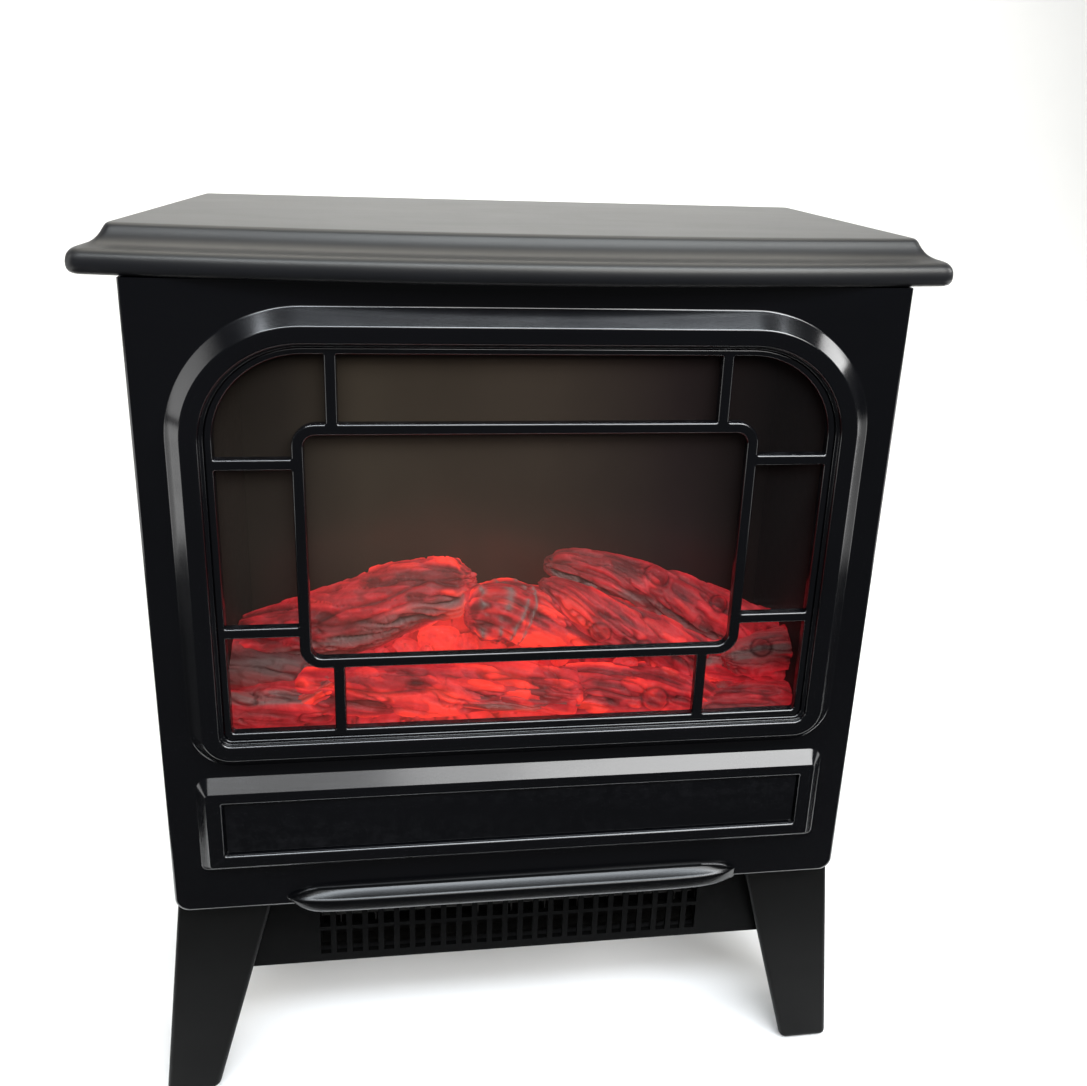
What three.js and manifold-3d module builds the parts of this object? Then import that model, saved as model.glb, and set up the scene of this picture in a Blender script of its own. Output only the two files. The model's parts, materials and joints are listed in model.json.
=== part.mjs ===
// Compact electric fireplace: a freestanding stove-style heater with an arched
// window, a moulded mantel, four splayed legs and a heater outlet under the body.
// Millimetres, +Z up, +X to the right seen from the front, +Y to the rear.
// Origin at the centre of the footprint, on the surface it stands on.
import * as THREE from 'three';
import { mergeVertices } from 'three/addons/utils/BufferGeometryUtils.js';
import Module from 'manifold-3d';

// ---------------------------------------------------------------- dimensions
const GAP = 0.3;                 // assembly gap between touching pieces

// body
const BODY_HALF = 180;           // half width of the cabinet
const FRONT = -89;               // front plane of the front panel
const REAR = 86;                 // inner face of the rear cover
const BODY_BOTTOM = 137;
const BODY_TOP = 473.7;
const BODY_CORNER_R = 8;         // lower corners of the front panel
const SHEET = 1.2;               // sheet steel
const WALL = 2.4;                // moulded wall

// mantel
const MANTEL_TOP = 495;
const MANTEL_BOTTOM = 474;
const MANTEL_CREASE = 484.6;     // where the cove meets the nose
const TOP_HALF = 189;            // half width of the flat upper face
const TOP_FRONT = -68;           // upper face front edge at its corners
const NOSE_HALF = 203;           // half width over the nose
const NOSE_FRONT = -86.5;        // nose front at its corners
const BOW = 14;                  // how far the front edge bows forward
const MANTEL_REAR = 101;

// raised door frame on the front panel
const RING = { x: 165.3, z0: 227, z1: 462.5, rTop: 62.5, rBot: 22 };
const RING_BEVEL = 8, RING_RISE = 7;
const WINDOW = { x: 147.6, z0: 244.5, z1: 445, rTop: 44.8, rBot: 4 };

// lower raised panel
const LOWER = { x: 164.5, z0: 164, z1: 220.4, rTop: 5, rBot: 2.5 };
const LOWER_BEVEL = 6, LOWER_RISE = 6;
const RECESS = { x: 151, z0: 176.5, z1: 208, depth: 3.5 };

// visor over the outlet
const VISOR = { x: 122, z0: 137, zEdge: 145, zTop: 148.5, depth: 7 };

// lattice in the window
const LAT_FRONT = -93, LAT_BACK = -88.9;
const LAT_INNER = { x: 144, z0: 248.2, z1: 441.5, rTop: 41.2, rBot: 2.5 };
const LAT_RECT = { x: 109.7, z0: 283, z1: 409, r: 11 };
const BAR = 5.5;
const LAT_X = 91.2, LAT_Z_LOW = 303.4, LAT_Z_HIGH = 389.5;

// outlet grille
const GRILLE_FRONT = -69, GRILLE_T = 2.5, GRILLE_HALF = 150;
const GRILLE_Z0 = 75, GRILLE_Z1 = 136.7;
const SLOT_PITCH = 8.88, SLOT_W = 5.7, SLOT_COLS = 25;
const SLOT_ROWS = [[80.5, 97], [99.5, 116], [118.5, 132]];

// legs
const FOOT_PAD = { x: 186, y: -70 };
const LEG_TOP_IN = 131, LEG_TOP_OUT = 181, LEG_BOT_IN = 168, LEG_BOT_OUT = 197;
const LEG_FRONT = -81, LEG_Z0 = 1, LEG_Z1 = 136.7, LEG_WALL = 3;
const LEG_DEPTH_TOP = 50, LEG_DEPTH_BOT = 32;

// fan and flame rotor
const FAN = { y: -15, z: 106, r: 22, x: 106 };
const ROTOR = { y: 20, z: 254, r: 17, x: 132 };

// controls on the rear cover
const SWITCH_X = [-70, -100, -130], SWITCH_Z = 430, ROCKER_Y = 87.5;
const KNOB_X = -28, KNOB_Z = 430;

// ------------------------------------------------------------------- helpers
const wasm = await Module();
wasm.setup();

function solid(geometry) {
  let g = geometry.index ? geometry.clone() : geometry;
  g.deleteAttribute('normal');
  g.deleteAttribute('uv');
  g = mergeVertices(g, 1e-4);
  const src = g.index.array, keep = [];
  for (let i = 0; i < src.length; i += 3) {
    const a = src[i], b = src[i + 1], c = src[i + 2];
    if (a !== b && b !== c && a !== c) keep.push(a, b, c);
  }
  return new wasm.Manifold(new wasm.Mesh({
    numProp: 3,
    vertProperties: new Float32Array(g.attributes.position.array),
    triVerts: new Uint32Array(keep),
  }));
}

function geometryOf(manifold) {
  const m = manifold.getMesh();
  const g = new THREE.BufferGeometry();
  g.setAttribute('position', new THREE.BufferAttribute(new Float32Array(m.vertProperties), 3));
  g.setIndex(new THREE.BufferAttribute(new Uint32Array(m.triVerts), 1));
  g.computeVertexNormals();
  return g;
}

const box = (x0, x1, y0, y1, z0, z1) => {
  const g = new THREE.BoxGeometry(x1 - x0, y1 - y0, z1 - z0);
  g.translate((x0 + x1) / 2, (y0 + y1) / 2, (z0 + z1) / 2);
  return solid(g);
};

const cyl = (axis, cx, cy, cz, r, len, n = 16, r2 = r) => {
  const g = new THREE.CylinderGeometry(r2, r, len, n);
  if (axis === 'x') g.rotateZ(-Math.PI / 2);
  if (axis === 'z') g.rotateX(Math.PI / 2);
  g.translate(cx, cy, cz);
  return solid(g);
};

// rounded rectangle outline in the X-Z plane, as explicit points
function outline(x0, x1, z0, z1, rTop, rBot, seg = 6) {
  const pts = [];
  const corner = (cx, cz, r, a0) => {
    if (r <= 0) { pts.push(new THREE.Vector2(cx, cz)); return; }
    for (let i = 0; i <= seg; i++) {
      const a = a0 + (i / seg) * Math.PI / 2;
      pts.push(new THREE.Vector2(cx + r * Math.cos(a), cz + r * Math.sin(a)));
    }
  };
  corner(x1 - rBot, z0 + rBot, rBot, -Math.PI / 2);
  corner(x1 - rTop, z1 - rTop, rTop, 0);
  corner(x0 + rTop, z1 - rTop, rTop, Math.PI / 2);
  corner(x0 + rBot, z0 + rBot, rBot, Math.PI);
  return new THREE.Shape(pts);
}

// extrude an X-Z shape between two Y planes; bevel gives both faces a chamfer
function plateY(shape, y0, y1, seg = 6, bevel = null) {
  const opt = { depth: y1 - y0, curveSegments: seg, bevelEnabled: false };
  if (bevel) {
    opt.bevelEnabled = true;
    opt.bevelSegments = 1;
    opt.bevelThickness = bevel.t;
    opt.bevelSize = bevel.s;
    opt.bevelOffset = -bevel.s;
    opt.depth = y1 - y0 - 2 * bevel.t;
  }
  const g = new THREE.ExtrudeGeometry(shape, opt);
  g.rotateX(Math.PI / 2);
  g.translate(0, y1 - (bevel ? bevel.t : 0), 0);
  return solid(g);
}

// extrude an X-Y shape between two Z planes
function plateZ(shape, z0, z1, seg = 6) {
  const g = new THREE.ExtrudeGeometry(shape, { depth: z1 - z0, curveSegments: seg, bevelEnabled: false });
  g.translate(0, 0, z0);
  return solid(g);
}

// extrude a Y-Z shape between two X planes
function plateX(shape, x0, x1, seg = 6) {
  const g = new THREE.ExtrudeGeometry(shape, { depth: x1 - x0, curveSegments: seg, bevelEnabled: false });
  g.rotateY(Math.PI / 2);   // shape x -> -z
  g.rotateX(Math.PI / 2);   // -z -> y, shape y -> z
  g.translate(x0, 0, 0);
  return solid(g);
}

const polygon = (pts) => {
  const s = new THREE.Shape();
  pts.forEach((p, i) => (i ? s.lineTo(p[0], p[1]) : s.moveTo(p[0], p[1])));
  return s;
};

// a closed skin through plan rings of equal count, given counter-clockwise
// from above, from the lowest level to the highest; made by reshaping a lathe
function loftZ(levels, turn = false) {
  const n = levels[0].ring.length, m = levels.length + 2;
  const prof = Array.from({ length: m }, (_, j) => new THREE.Vector2(j === 0 || j === m - 1 ? 0 : 1, j));
  const g = new THREE.LatheGeometry(prof, n);
  const p = g.attributes.position;
  const area = levels[0].ring.reduce((a, q, i, r) => a + q[0] * r[(i + 1) % n][1] - r[(i + 1) % n][0] * q[1], 0);
  const mid = (ring) => [
    ring.reduce((a, q) => a + q[0], 0) / n,
    ring.reduce((a, q) => a + q[1], 0) / n,
  ];
  for (let i = 0; i <= n; i++) {
    const k = area > 0 ? i % n : (n - (i % n)) % n;
    for (let j = 0; j < m; j++) {
      const L = levels[Math.min(Math.max(j - 1, 0), levels.length - 1)];
      const q = j === 0 || j === m - 1 ? mid(L.ring) : L.ring[k];
      p.setXYZ(i * m + j, q[0], q[1], L.z);
    }
  }
  if (turn) g.rotateX(Math.PI / 2);
  return solid(g);
}
// the same with X-Z rings, from the rearmost level to the frontmost
const loftY = (levels) => loftZ(levels.map(({ y, ring }) => ({ z: -y, ring })), true);
const ringOf = (shape) => shape.getPoints().map((q) => [q.x, q.y]);

const root = new THREE.Group();
root.name = 'electric_fireplace';
const MAT = {
  gloss_black: { color: 0x0d0e10, roughness: 0.32, metalness: 0 },
  black_steel: { color: 0x121315, roughness: 0.45, metalness: 0.2 },
  grille_black: { color: 0x101010, roughness: 0.5, metalness: 0 },
  smoked_glass: { color: 0x2e2a26, roughness: 0.05, metalness: 0 },
  log_resin: { color: 0xb02a2a, roughness: 0.6, metalness: 0 },
  screen: { color: 0x1c1815, roughness: 0.4, metalness: 0 },
  steel: { color: 0x9a9c9e, roughness: 0.35, metalness: 1 },
  foil: { color: 0xd5d6d8, roughness: 0.2, metalness: 1 },
  board: { color: 0x1d4a2c, roughness: 0.6, metalness: 0 },
  nylon: { color: 0xd8d4c8, roughness: 0.5, metalness: 0 },
  rubber: { color: 0x161616, roughness: 0.85, metalness: 0 },
  control_black: { color: 0x151515, roughness: 0.4, metalness: 0 },
  ceramic: { color: 0xe6e2d8, roughness: 0.7, metalness: 0 },
};
function add(name, manifold, mat) {
  const mesh = new THREE.Mesh(geometryOf(manifold), new THREE.MeshStandardMaterial(MAT[mat]));
  mesh.name = name;
  root.add(mesh);
}
const join = (list) => list.reduce((a, b) => a.add(b));

// -------------------------------------------------------------------- mantel
// plan ring: straight sides and rear, bowed front, small corner radius
function mantelRing(half, front, bow, rear, r) {
  const pts = [];
  const corner = (cx, cy, a0, k = 3) => {
    for (let i = 0; i <= k; i++) {
      const a = a0 + (i / k) * (Math.PI / 2);
      pts.push([cx + r * Math.cos(a), cy + r * Math.sin(a)]);
    }
  };
  corner(-half + r, front + r, Math.PI);           // front left
  for (let i = 1; i < 18; i++) {
    const t = i / 18, x = -half + r + t * 2 * (half - r);
    const u = x / (half - r);
    pts.push([x, front - bow * (1 - u * u)]);
  }
  corner(half - r, front + r, -Math.PI / 2);       // front right
  corner(half - 0.6, rear - 0.6, 0, 1);            // rear right, nearly square
  corner(-half + 0.6, rear - 0.6, Math.PI / 2, 1); // rear left
  return pts;
}
function fixRear(ring, half, rear) {               // rear corners are square
  const k = ring.length;
  ring[k - 4] = [half, rear - 0.6]; ring[k - 3] = [half - 0.6, rear];
  ring[k - 2] = [-half + 0.6, rear]; ring[k - 1] = [-half, rear - 0.6];
  return ring;
}
// profile: how far out from the upper face (0) to the nose (1), against height
const PROFILE = [
  [0.78, MANTEL_BOTTOM], [0.93, 475.2], [1.0, 478.2], [0.985, 481.2], [0.9, 483.8],
  [0.76, MANTEL_CREASE], [0.5, 486.2], [0.26, 489.2], [0.12, 492.6], [0.04, 494.4], [-0.03, MANTEL_TOP],
];
const mix = (a, b, t) => a + (b - a) * t;
{
  const ring = (t, inset = 0) => {
    const half = mix(TOP_HALF, NOSE_HALF, t) - inset;
    return fixRear(mantelRing(half, mix(TOP_FRONT, NOSE_FRONT, t) + inset, mix(BOW - 0.5, BOW, t),
      MANTEL_REAR - inset, Math.max(3, 5 + 3 * t - inset)), half, MANTEL_REAR - inset);
  };
  const skin = loftZ(PROFILE.map(([t, z]) => ({ z, ring: ring(t) })));
  const hollow = loftZ([
    { z: MANTEL_BOTTOM - 2, ring: ring(0.3, 4) }, { z: 484, ring: ring(0.3, 4) },
    { z: MANTEL_TOP - 3, ring: ring(0, 7) },
  ]);
  add('top_cover', skin.subtract(hollow), 'gloss_black');
}

// --------------------------------------------------------------- front panel
{
  const tray = plateY(outline(-BODY_HALF, BODY_HALF, BODY_BOTTOM, BODY_TOP, 0, BODY_CORNER_R), FRONT, FRONT + 15, 4)
    .subtract(plateY(outline(-BODY_HALF + WALL, BODY_HALF - WALL, BODY_BOTTOM + WALL, BODY_TOP - WALL, 0, BODY_CORNER_R - WALL),
      FRONT + 2.6, FRONT + 16, 4));
  const ringOuter = plateY(outline(-RING.x, RING.x, RING.z0, RING.z1, RING.rTop, RING.rBot),
    FRONT - RING_RISE, FRONT + RING_RISE + 1, 8, { t: RING_RISE, s: RING_BEVEL })
    .subtract(box(-200, 200, FRONT + 1.5, 0, 0, 600));
  const ringHollow = plateY(outline(-RING.x + RING_BEVEL + 0.5, RING.x - RING_BEVEL - 0.5, RING.z0 + RING_BEVEL + 0.5,
    RING.z1 - RING_BEVEL - 0.5, RING.rTop - RING_BEVEL - 0.5, RING.rBot - RING_BEVEL - 0.5), FRONT - RING_RISE + 2.6, FRONT + 4, 8)
    .subtract(plateY(outline(-WINDOW.x - WALL, WINDOW.x + WALL, WINDOW.z0 - WALL, WINDOW.z1 + WALL, WINDOW.rTop + WALL, WINDOW.rBot + WALL),
      FRONT - RING_RISE, FRONT + 6, 8));
  const win = plateY(outline(-WINDOW.x, WINDOW.x, WINDOW.z0, WINDOW.z1, WINDOW.rTop, WINDOW.rBot), FRONT - 12, FRONT + 12, 8);
  const lowerBlock = loftY([
    { y: FRONT + 1.5, ring: ringOf(outline(-LOWER.x, LOWER.x, LOWER.z0, LOWER.z1, LOWER.rTop, LOWER.rBot, 3)) },
    { y: FRONT, ring: ringOf(outline(-LOWER.x, LOWER.x, LOWER.z0, LOWER.z1, LOWER.rTop, LOWER.rBot, 3)) },
    { y: FRONT - LOWER_RISE, ring: ringOf(outline(-LOWER.x + LOWER_BEVEL, LOWER.x - LOWER_BEVEL, LOWER.z0 + LOWER_BEVEL, LOWER.z1 - LOWER_BEVEL, 3, 1.5, 3)) },
  ]);
  const lowerHollow = join([
    box(-157, 157, FRONT - LOWER_RISE + WALL, FRONT + 3, LOWER.z0 + 7.5, LOWER.z1 - 7.5)
      .subtract(box(-RECESS.x - WALL, RECESS.x + WALL, FRONT - 10, FRONT + 4, RECESS.z0 - WALL, RECESS.z1 + WALL)),
  ]);
  const recess = box(-RECESS.x, RECESS.x, FRONT - 12, FRONT - LOWER_RISE + RECESS.depth, RECESS.z0, RECESS.z1);
  // visor: a boat-shaped lip with a sloping top and pointed ends
  const plan = [[-VISOR.x, FRONT + 0.6], [-VISOR.x + 4, FRONT - 1.6], [-VISOR.x + 10, FRONT - 4.4], [-VISOR.x + 18, FRONT - 6.3],
    [-VISOR.x + 28, FRONT - VISOR.depth]];
  const full = [...plan, ...plan.map(([x, y]) => [-x, y]).reverse()];
  const visor = plateZ(polygon([...full, [VISOR.x, FRONT + 1.5], [-VISOR.x, FRONT + 1.5]]), VISOR.z0, VISOR.zTop + 3)
    .intersect(plateX(polygon([[FRONT + 2, VISOR.z0], [FRONT + 2, VISOR.zTop + 1], [FRONT, VISOR.zTop],
      [FRONT - VISOR.depth, VISOR.zEdge], [FRONT - VISOR.depth - 1, VISOR.zEdge - 0.5], [FRONT - VISOR.depth - 1, VISOR.z0]]), -130, 130))
    .intersect(plateY(polygon([[-VISOR.x, 143], [-114, 147.6], [-108, VISOR.zTop + 2], [108, VISOR.zTop + 2], [114, 147.6], [VISOR.x, 143],
      [VISOR.x, VISOR.z0], [-VISOR.x, VISOR.z0]]), FRONT - 12, FRONT + 4));
  // rebate for the pane, behind the opening
  const rebate = plateY(outline(-150.5, 150.5, 241.5, 448.1, 47.9, 4), FRONT + 0.4, FRONT + 8, 8);
  add('front_panel', tray.add(ringOuter).add(lowerBlock).add(visor)
    .subtract(ringHollow).subtract(lowerHollow).subtract(recess).subtract(win).subtract(rebate), 'gloss_black');
}
add('lower_insert_plate', box(-RECESS.x + 0.8, RECESS.x - 0.8, FRONT - LOWER_RISE + RECESS.depth - 1.3, FRONT - LOWER_RISE + RECESS.depth - GAP,
  RECESS.z0 + 0.8, RECESS.z1 - 0.8), 'gloss_black');

// ------------------------------------------------------------ window lattice
{
  const y0 = LAT_FRONT, y1 = LAT_BACK;
  const rim = plateY(outline(-WINDOW.x + GAP, WINDOW.x - GAP, WINDOW.z0 + GAP, WINDOW.z1 - GAP, WINDOW.rTop - GAP, WINDOW.rBot - GAP), y0, y1, 8)
    .subtract(plateY(outline(-LAT_INNER.x, LAT_INNER.x, LAT_INNER.z0, LAT_INNER.z1, LAT_INNER.rTop, LAT_INNER.rBot), y0 - 2, y1 + 2, 8));
  const rect = plateY(outline(-LAT_RECT.x, LAT_RECT.x, LAT_RECT.z0, LAT_RECT.z1, LAT_RECT.r, LAT_RECT.r), y0, y1, 4)
    .subtract(plateY(outline(-LAT_RECT.x + BAR, LAT_RECT.x - BAR, LAT_RECT.z0 + BAR, LAT_RECT.z1 - BAR, LAT_RECT.r - BAR, LAT_RECT.r - BAR), y0 - 2, y1 + 2, 4));
  const h = BAR / 2, bars = [];
  for (const s of [-1, 1]) {
    const xa = s * (LAT_RECT.x - 2), xb = s * (LAT_INNER.x + 1.5);
    for (const z of [LAT_Z_LOW, LAT_Z_HIGH]) bars.push(box(Math.min(xa, xb), Math.max(xa, xb), y0, y1, z - h, z + h));
    bars.push(box(s * LAT_X - h, s * LAT_X + h, y0, y1, LAT_RECT.z1 - 2, LAT_INNER.z1 + 1.5));
    bars.push(box(s * LAT_X - h, s * LAT_X + h, y0, y1, LAT_INNER.z0 - 1.5, LAT_RECT.z0 + 2));
  }
  add('window_lattice', join([rim, rect, ...bars]), 'gloss_black');
}
add('window_glass', plateY(outline(-150, 150, 242, 447.6, 47.4, 3.5), FRONT + 0.7, FRONT + 3.7, 8), 'smoked_glass');

// --------------------------------------------------------------- side panels
for (const [name, s] of [['left_side_panel', -1], ['right_side_panel', 1]]) {
  const X = (a, b) => [Math.min(s * a, s * b), Math.max(s * a, s * b)];
  const wall = box(...X(BODY_HALF - SHEET, BODY_HALF), FRONT + 15 + GAP, REAR - GAP, BODY_BOTTOM, BODY_TOP);
  const flange = box(...X(BODY_HALF - 12, BODY_HALF), REAR - GAP - SHEET, REAR - GAP, BODY_BOTTOM + 4, BODY_TOP - 4);
  let p = wall.add(flange);
  for (const z of [160, 452]) p = p.subtract(cyl('y', s * 173.5, REAR - 1, z, 2.0, 8, 10));
  add(name, p, 'black_steel');
}

// ---------------------------------------------------------------- rear cover
{
  let p = plateY(outline(-BODY_HALF, BODY_HALF, BODY_BOTTOM, BODY_TOP, 3, 3, 2), REAR, REAR + SHEET, 3);
  for (let i = 0; i < 8; i++) {
    for (const cx of [-62, 62]) {
      const z = 168 + i * 9;
      p = p.subtract(plateY(outline(cx - 42, cx + 42, z, z + 4, 1.9, 1.9, 1), REAR - 3, REAR + 4, 2));
    }
  }
  for (let i = 0; i < 4; i++) {
    for (const cx of [70, 120]) {
      const z = 414 + i * 9;
      p = p.subtract(plateY(outline(cx - 20, cx + 20, z, z + 4, 1.9, 1.9, 1), REAR - 3, REAR + 4, 2));
    }
  }
  for (const x of SWITCH_X) p = p.subtract(box(x - 7.6, x + 7.6, REAR - 3, REAR + 4, SWITCH_Z - 10.9, SWITCH_Z + 10.9));
  p = p.subtract(cyl('y', KNOB_X, REAR, KNOB_Z, 4.2, 10, 14));
  p = p.subtract(cyl('y', -150, REAR, 156, 7.0, 10, 16));
  for (const s of [-1, 1]) for (const z of [160, 452]) p = p.subtract(cyl('y', s * 173.5, REAR, z, 2.3, 10, 10));
  add('rear_cover', p, 'black_steel');
}
// pan-head screws that hold the rear cover to the side panel flanges
[[-1, 160, 'rear_screw_lower_left'], [1, 160, 'rear_screw_lower_right'], [-1, 452, 'rear_screw_upper_left'], [1, 452, 'rear_screw_upper_right']]
  .forEach(([s, z, name]) => {
    const prof = [[0, -7], [1.2, -7], [1.7, -5.6], [1.7, SHEET + 0.1], [3.7, SHEET + 0.1], [3.7, SHEET + 0.9], [2.9, SHEET + 1.9], [0, SHEET + 2.2]];
    const g = new THREE.LatheGeometry(prof.map(([r, y]) => new THREE.Vector2(r, y)), 10);
    g.translate(s * 173.5, REAR, z);
    const cross = join([box(s * 173.5 - 1.8, s * 173.5 + 1.8, REAR + 2.4, REAR + 5, z - 0.35, z + 0.35),
      box(s * 173.5 - 0.35, s * 173.5 + 0.35, REAR + 2.4, REAR + 5, z - 1.8, z + 1.8)]);
    add(name, solid(g).subtract(cross), 'steel');
  });

// ---------------------------------------------------------------- base plate
const LEG_SCREW = { x: 158, y: 62 };
{
  let p = box(-BODY_HALF + SHEET + GAP, BODY_HALF - SHEET - GAP, FRONT + 15 + GAP, REAR - SHEET - 2 * GAP, BODY_BOTTOM, BODY_BOTTOM + SHEET);
  for (let i = -4; i <= 4; i++) p = p.subtract(box(i * 22 - 6, i * 22 + 6, -36, 14, BODY_BOTTOM - 2, BODY_BOTTOM + 4));
  for (const sx of [-1, 1]) for (const sy of [-1, 1]) {
    p = p.subtract(cyl('z', sx * LEG_SCREW.x, sy * LEG_SCREW.y, BODY_BOTTOM, 2.3, 10, 10));
  }
  add('base_plate', p, 'black_steel');
}

// ---------------------------------------------------------------------- legs
{
  const ringAt = (xi, xo, yf, yb) => [[xi, yf], [xo, yf], [xo, yb], [xi, yb]];
  const names = { '-1,-1': 'front_left', '1,-1': 'front_right', '-1,1': 'rear_left', '1,1': 'rear_right' };
  for (const sx of [-1, 1]) for (const sy of [-1, 1]) {
    const tag = names[`${sx},${sy}`];
    const orient = (pts) => {
      const q = pts.map(([x, y]) => [sx * x, -sy * y]);   // y given for the front leg, as a negative number
      return sx * -sy < 0 ? q.reverse() : q;
    };
    const f = LEG_FRONT;
    const outer = loftZ([
      { z: LEG_Z0, ring: orient(ringAt(LEG_BOT_IN + 2, LEG_BOT_OUT - 1.5, f + 1.5, f + LEG_DEPTH_BOT - 1)) },
      { z: LEG_Z0 + 2.5, ring: orient(ringAt(LEG_BOT_IN - 0.6, LEG_BOT_OUT, f, f + LEG_DEPTH_BOT)) },
      { z: LEG_Z1, ring: orient(ringAt(LEG_TOP_IN, LEG_TOP_OUT, f, f + LEG_DEPTH_TOP)) },
    ]);
    const w = LEG_WALL;
    const inner = loftZ([
      { z: 9, ring: orient(ringAt(LEG_BOT_IN - 12, LEG_BOT_OUT - w - 1, f + w, f + LEG_DEPTH_BOT + 9)) },
      { z: LEG_Z1 - 3, ring: orient(ringAt(LEG_TOP_IN - 9, LEG_TOP_OUT - w - 1, f + w, f + LEG_DEPTH_TOP + 9)) },
    ]);
    const px = sx * FOOT_PAD.x, py = -sy * FOOT_PAD.y;
    const pocket = box(px - 6.8, px + 6.8, py - 6.8, py + 6.8, -1, 4.3);
    // the foot plate is cut away diagonally on its inner side
    const chop = loftZ([-1, 12].map((z) => ({ z, ring: orient([[150, f + 3.1], [LEG_BOT_IN + 1.7, f + 3.1], [187.5, f + 37], [150, f + 37]]) })));
    const hole = cyl('z', sx * LEG_SCREW.x, sy * LEG_SCREW.y, LEG_Z1, 2.3, 12, 10);
    // notched where the outlet duct passes between the legs
    const yn = sy < 0 ? [GRILLE_FRONT - 0.4, 0] : [0, 34.6];
    const notch = box(Math.min(0, sx * (GRILLE_HALF + 0.6)), Math.max(0, sx * (GRILLE_HALF + 0.6)), yn[0], yn[1], 60, 150);
    add(`leg_${tag}`, outer.subtract(inner).subtract(chop).subtract(pocket).subtract(hole).subtract(notch), 'gloss_black');
    add(`foot_pad_${tag}`, box(px - 6.5, px + 6.5, py - 6.5, py + 6.5, 0, 4), 'rubber');
    const prof = [[0, -3.4], [2.6, -3.2], [3.6, -2.3], [3.6, -0.1], [1.7, -0.1], [1.7, 9.4], [1.1, 10.6], [0, 10.6]];
    const g = new THREE.LatheGeometry(prof.map(([r, y]) => new THREE.Vector2(r, y)), 8);
    g.rotateX(Math.PI / 2);
    g.translate(sx * LEG_SCREW.x, sy * LEG_SCREW.y, LEG_Z1 - 3 - 0.2);
    add(`leg_screw_${tag}`, solid(g), 'steel');
  }
}

// ------------------------------------------------------- outlet and lower duct
{
  let p = box(-GRILLE_HALF, GRILLE_HALF, GRILLE_FRONT, GRILLE_FRONT + GRILLE_T, GRILLE_Z0, GRILLE_Z1);
  const slots = [];
  for (let c = 0; c < SLOT_COLS; c++) {
    const x = (c - (SLOT_COLS - 1) / 2) * SLOT_PITCH;
    for (const [z0, z1] of SLOT_ROWS) slots.push(box(x - SLOT_W / 2, x + SLOT_W / 2, GRILLE_FRONT - 2, GRILLE_FRONT + GRILLE_T + 2, z0, z1));
  }
  add('outlet_grille', p.subtract(join(slots)), 'grille_black');
}
const DUCT_Y0 = GRILLE_FRONT + GRILLE_T + GAP, DUCT_Y1 = 34;
{
  const y1 = DUCT_Y1 - SHEET - GAP, t = SHEET;
  add('duct_pan', box(-GRILLE_HALF, GRILLE_HALF, DUCT_Y0, y1, GRILLE_Z0, GRILLE_Z1)
    .subtract(box(-GRILLE_HALF + t, GRILLE_HALF - t, DUCT_Y0 - 2, y1 + 2, GRILLE_Z0 + t, GRILLE_Z1 + 2)), 'black_steel');
}
{
  let back = box(-GRILLE_HALF, GRILLE_HALF, DUCT_Y1 - SHEET, DUCT_Y1, GRILLE_Z0, GRILLE_Z1);
  for (let i = -5; i <= 5; i++) for (const z of [88, 104, 120]) {
    back = back.subtract(box(i * 22 - 8, i * 22 + 8, DUCT_Y1 - 4, DUCT_Y1 + 3, z - 2, z + 2));
  }
  add('duct_back', back, 'black_steel');
}
// heater: finned element in a rectangular frame, just behind the outlet
{
  const x = 112, y0 = -63, y1 = -45, z0 = 80, z1 = 132;
  add('heater_frame', box(-x, x, y0, y1, z0, z1).subtract(box(-x + 2, x - 2, y0 - 2, y1 + 2, z0 + 2, z1 - 2)), 'ceramic');
  const parts = [];
  for (const z of [84.5, 98, 111.5, 125]) parts.push(box(-x + 2.6, x - 2.6, y0 + 3, y1 - 3, z, z + 3));
  for (let i = -5; i <= 5; i++) parts.push(box(i * 19.8 - 0.4, i * 19.8 + 0.4, y0 + 3.4, y1 - 3.4, 83, 129));
  add('heater_element', join(parts), 'foil');
  add('thermal_cutout', cyl('y', 60, -40.2, 126, 6.5, 9, 14), 'steel');
}

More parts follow.
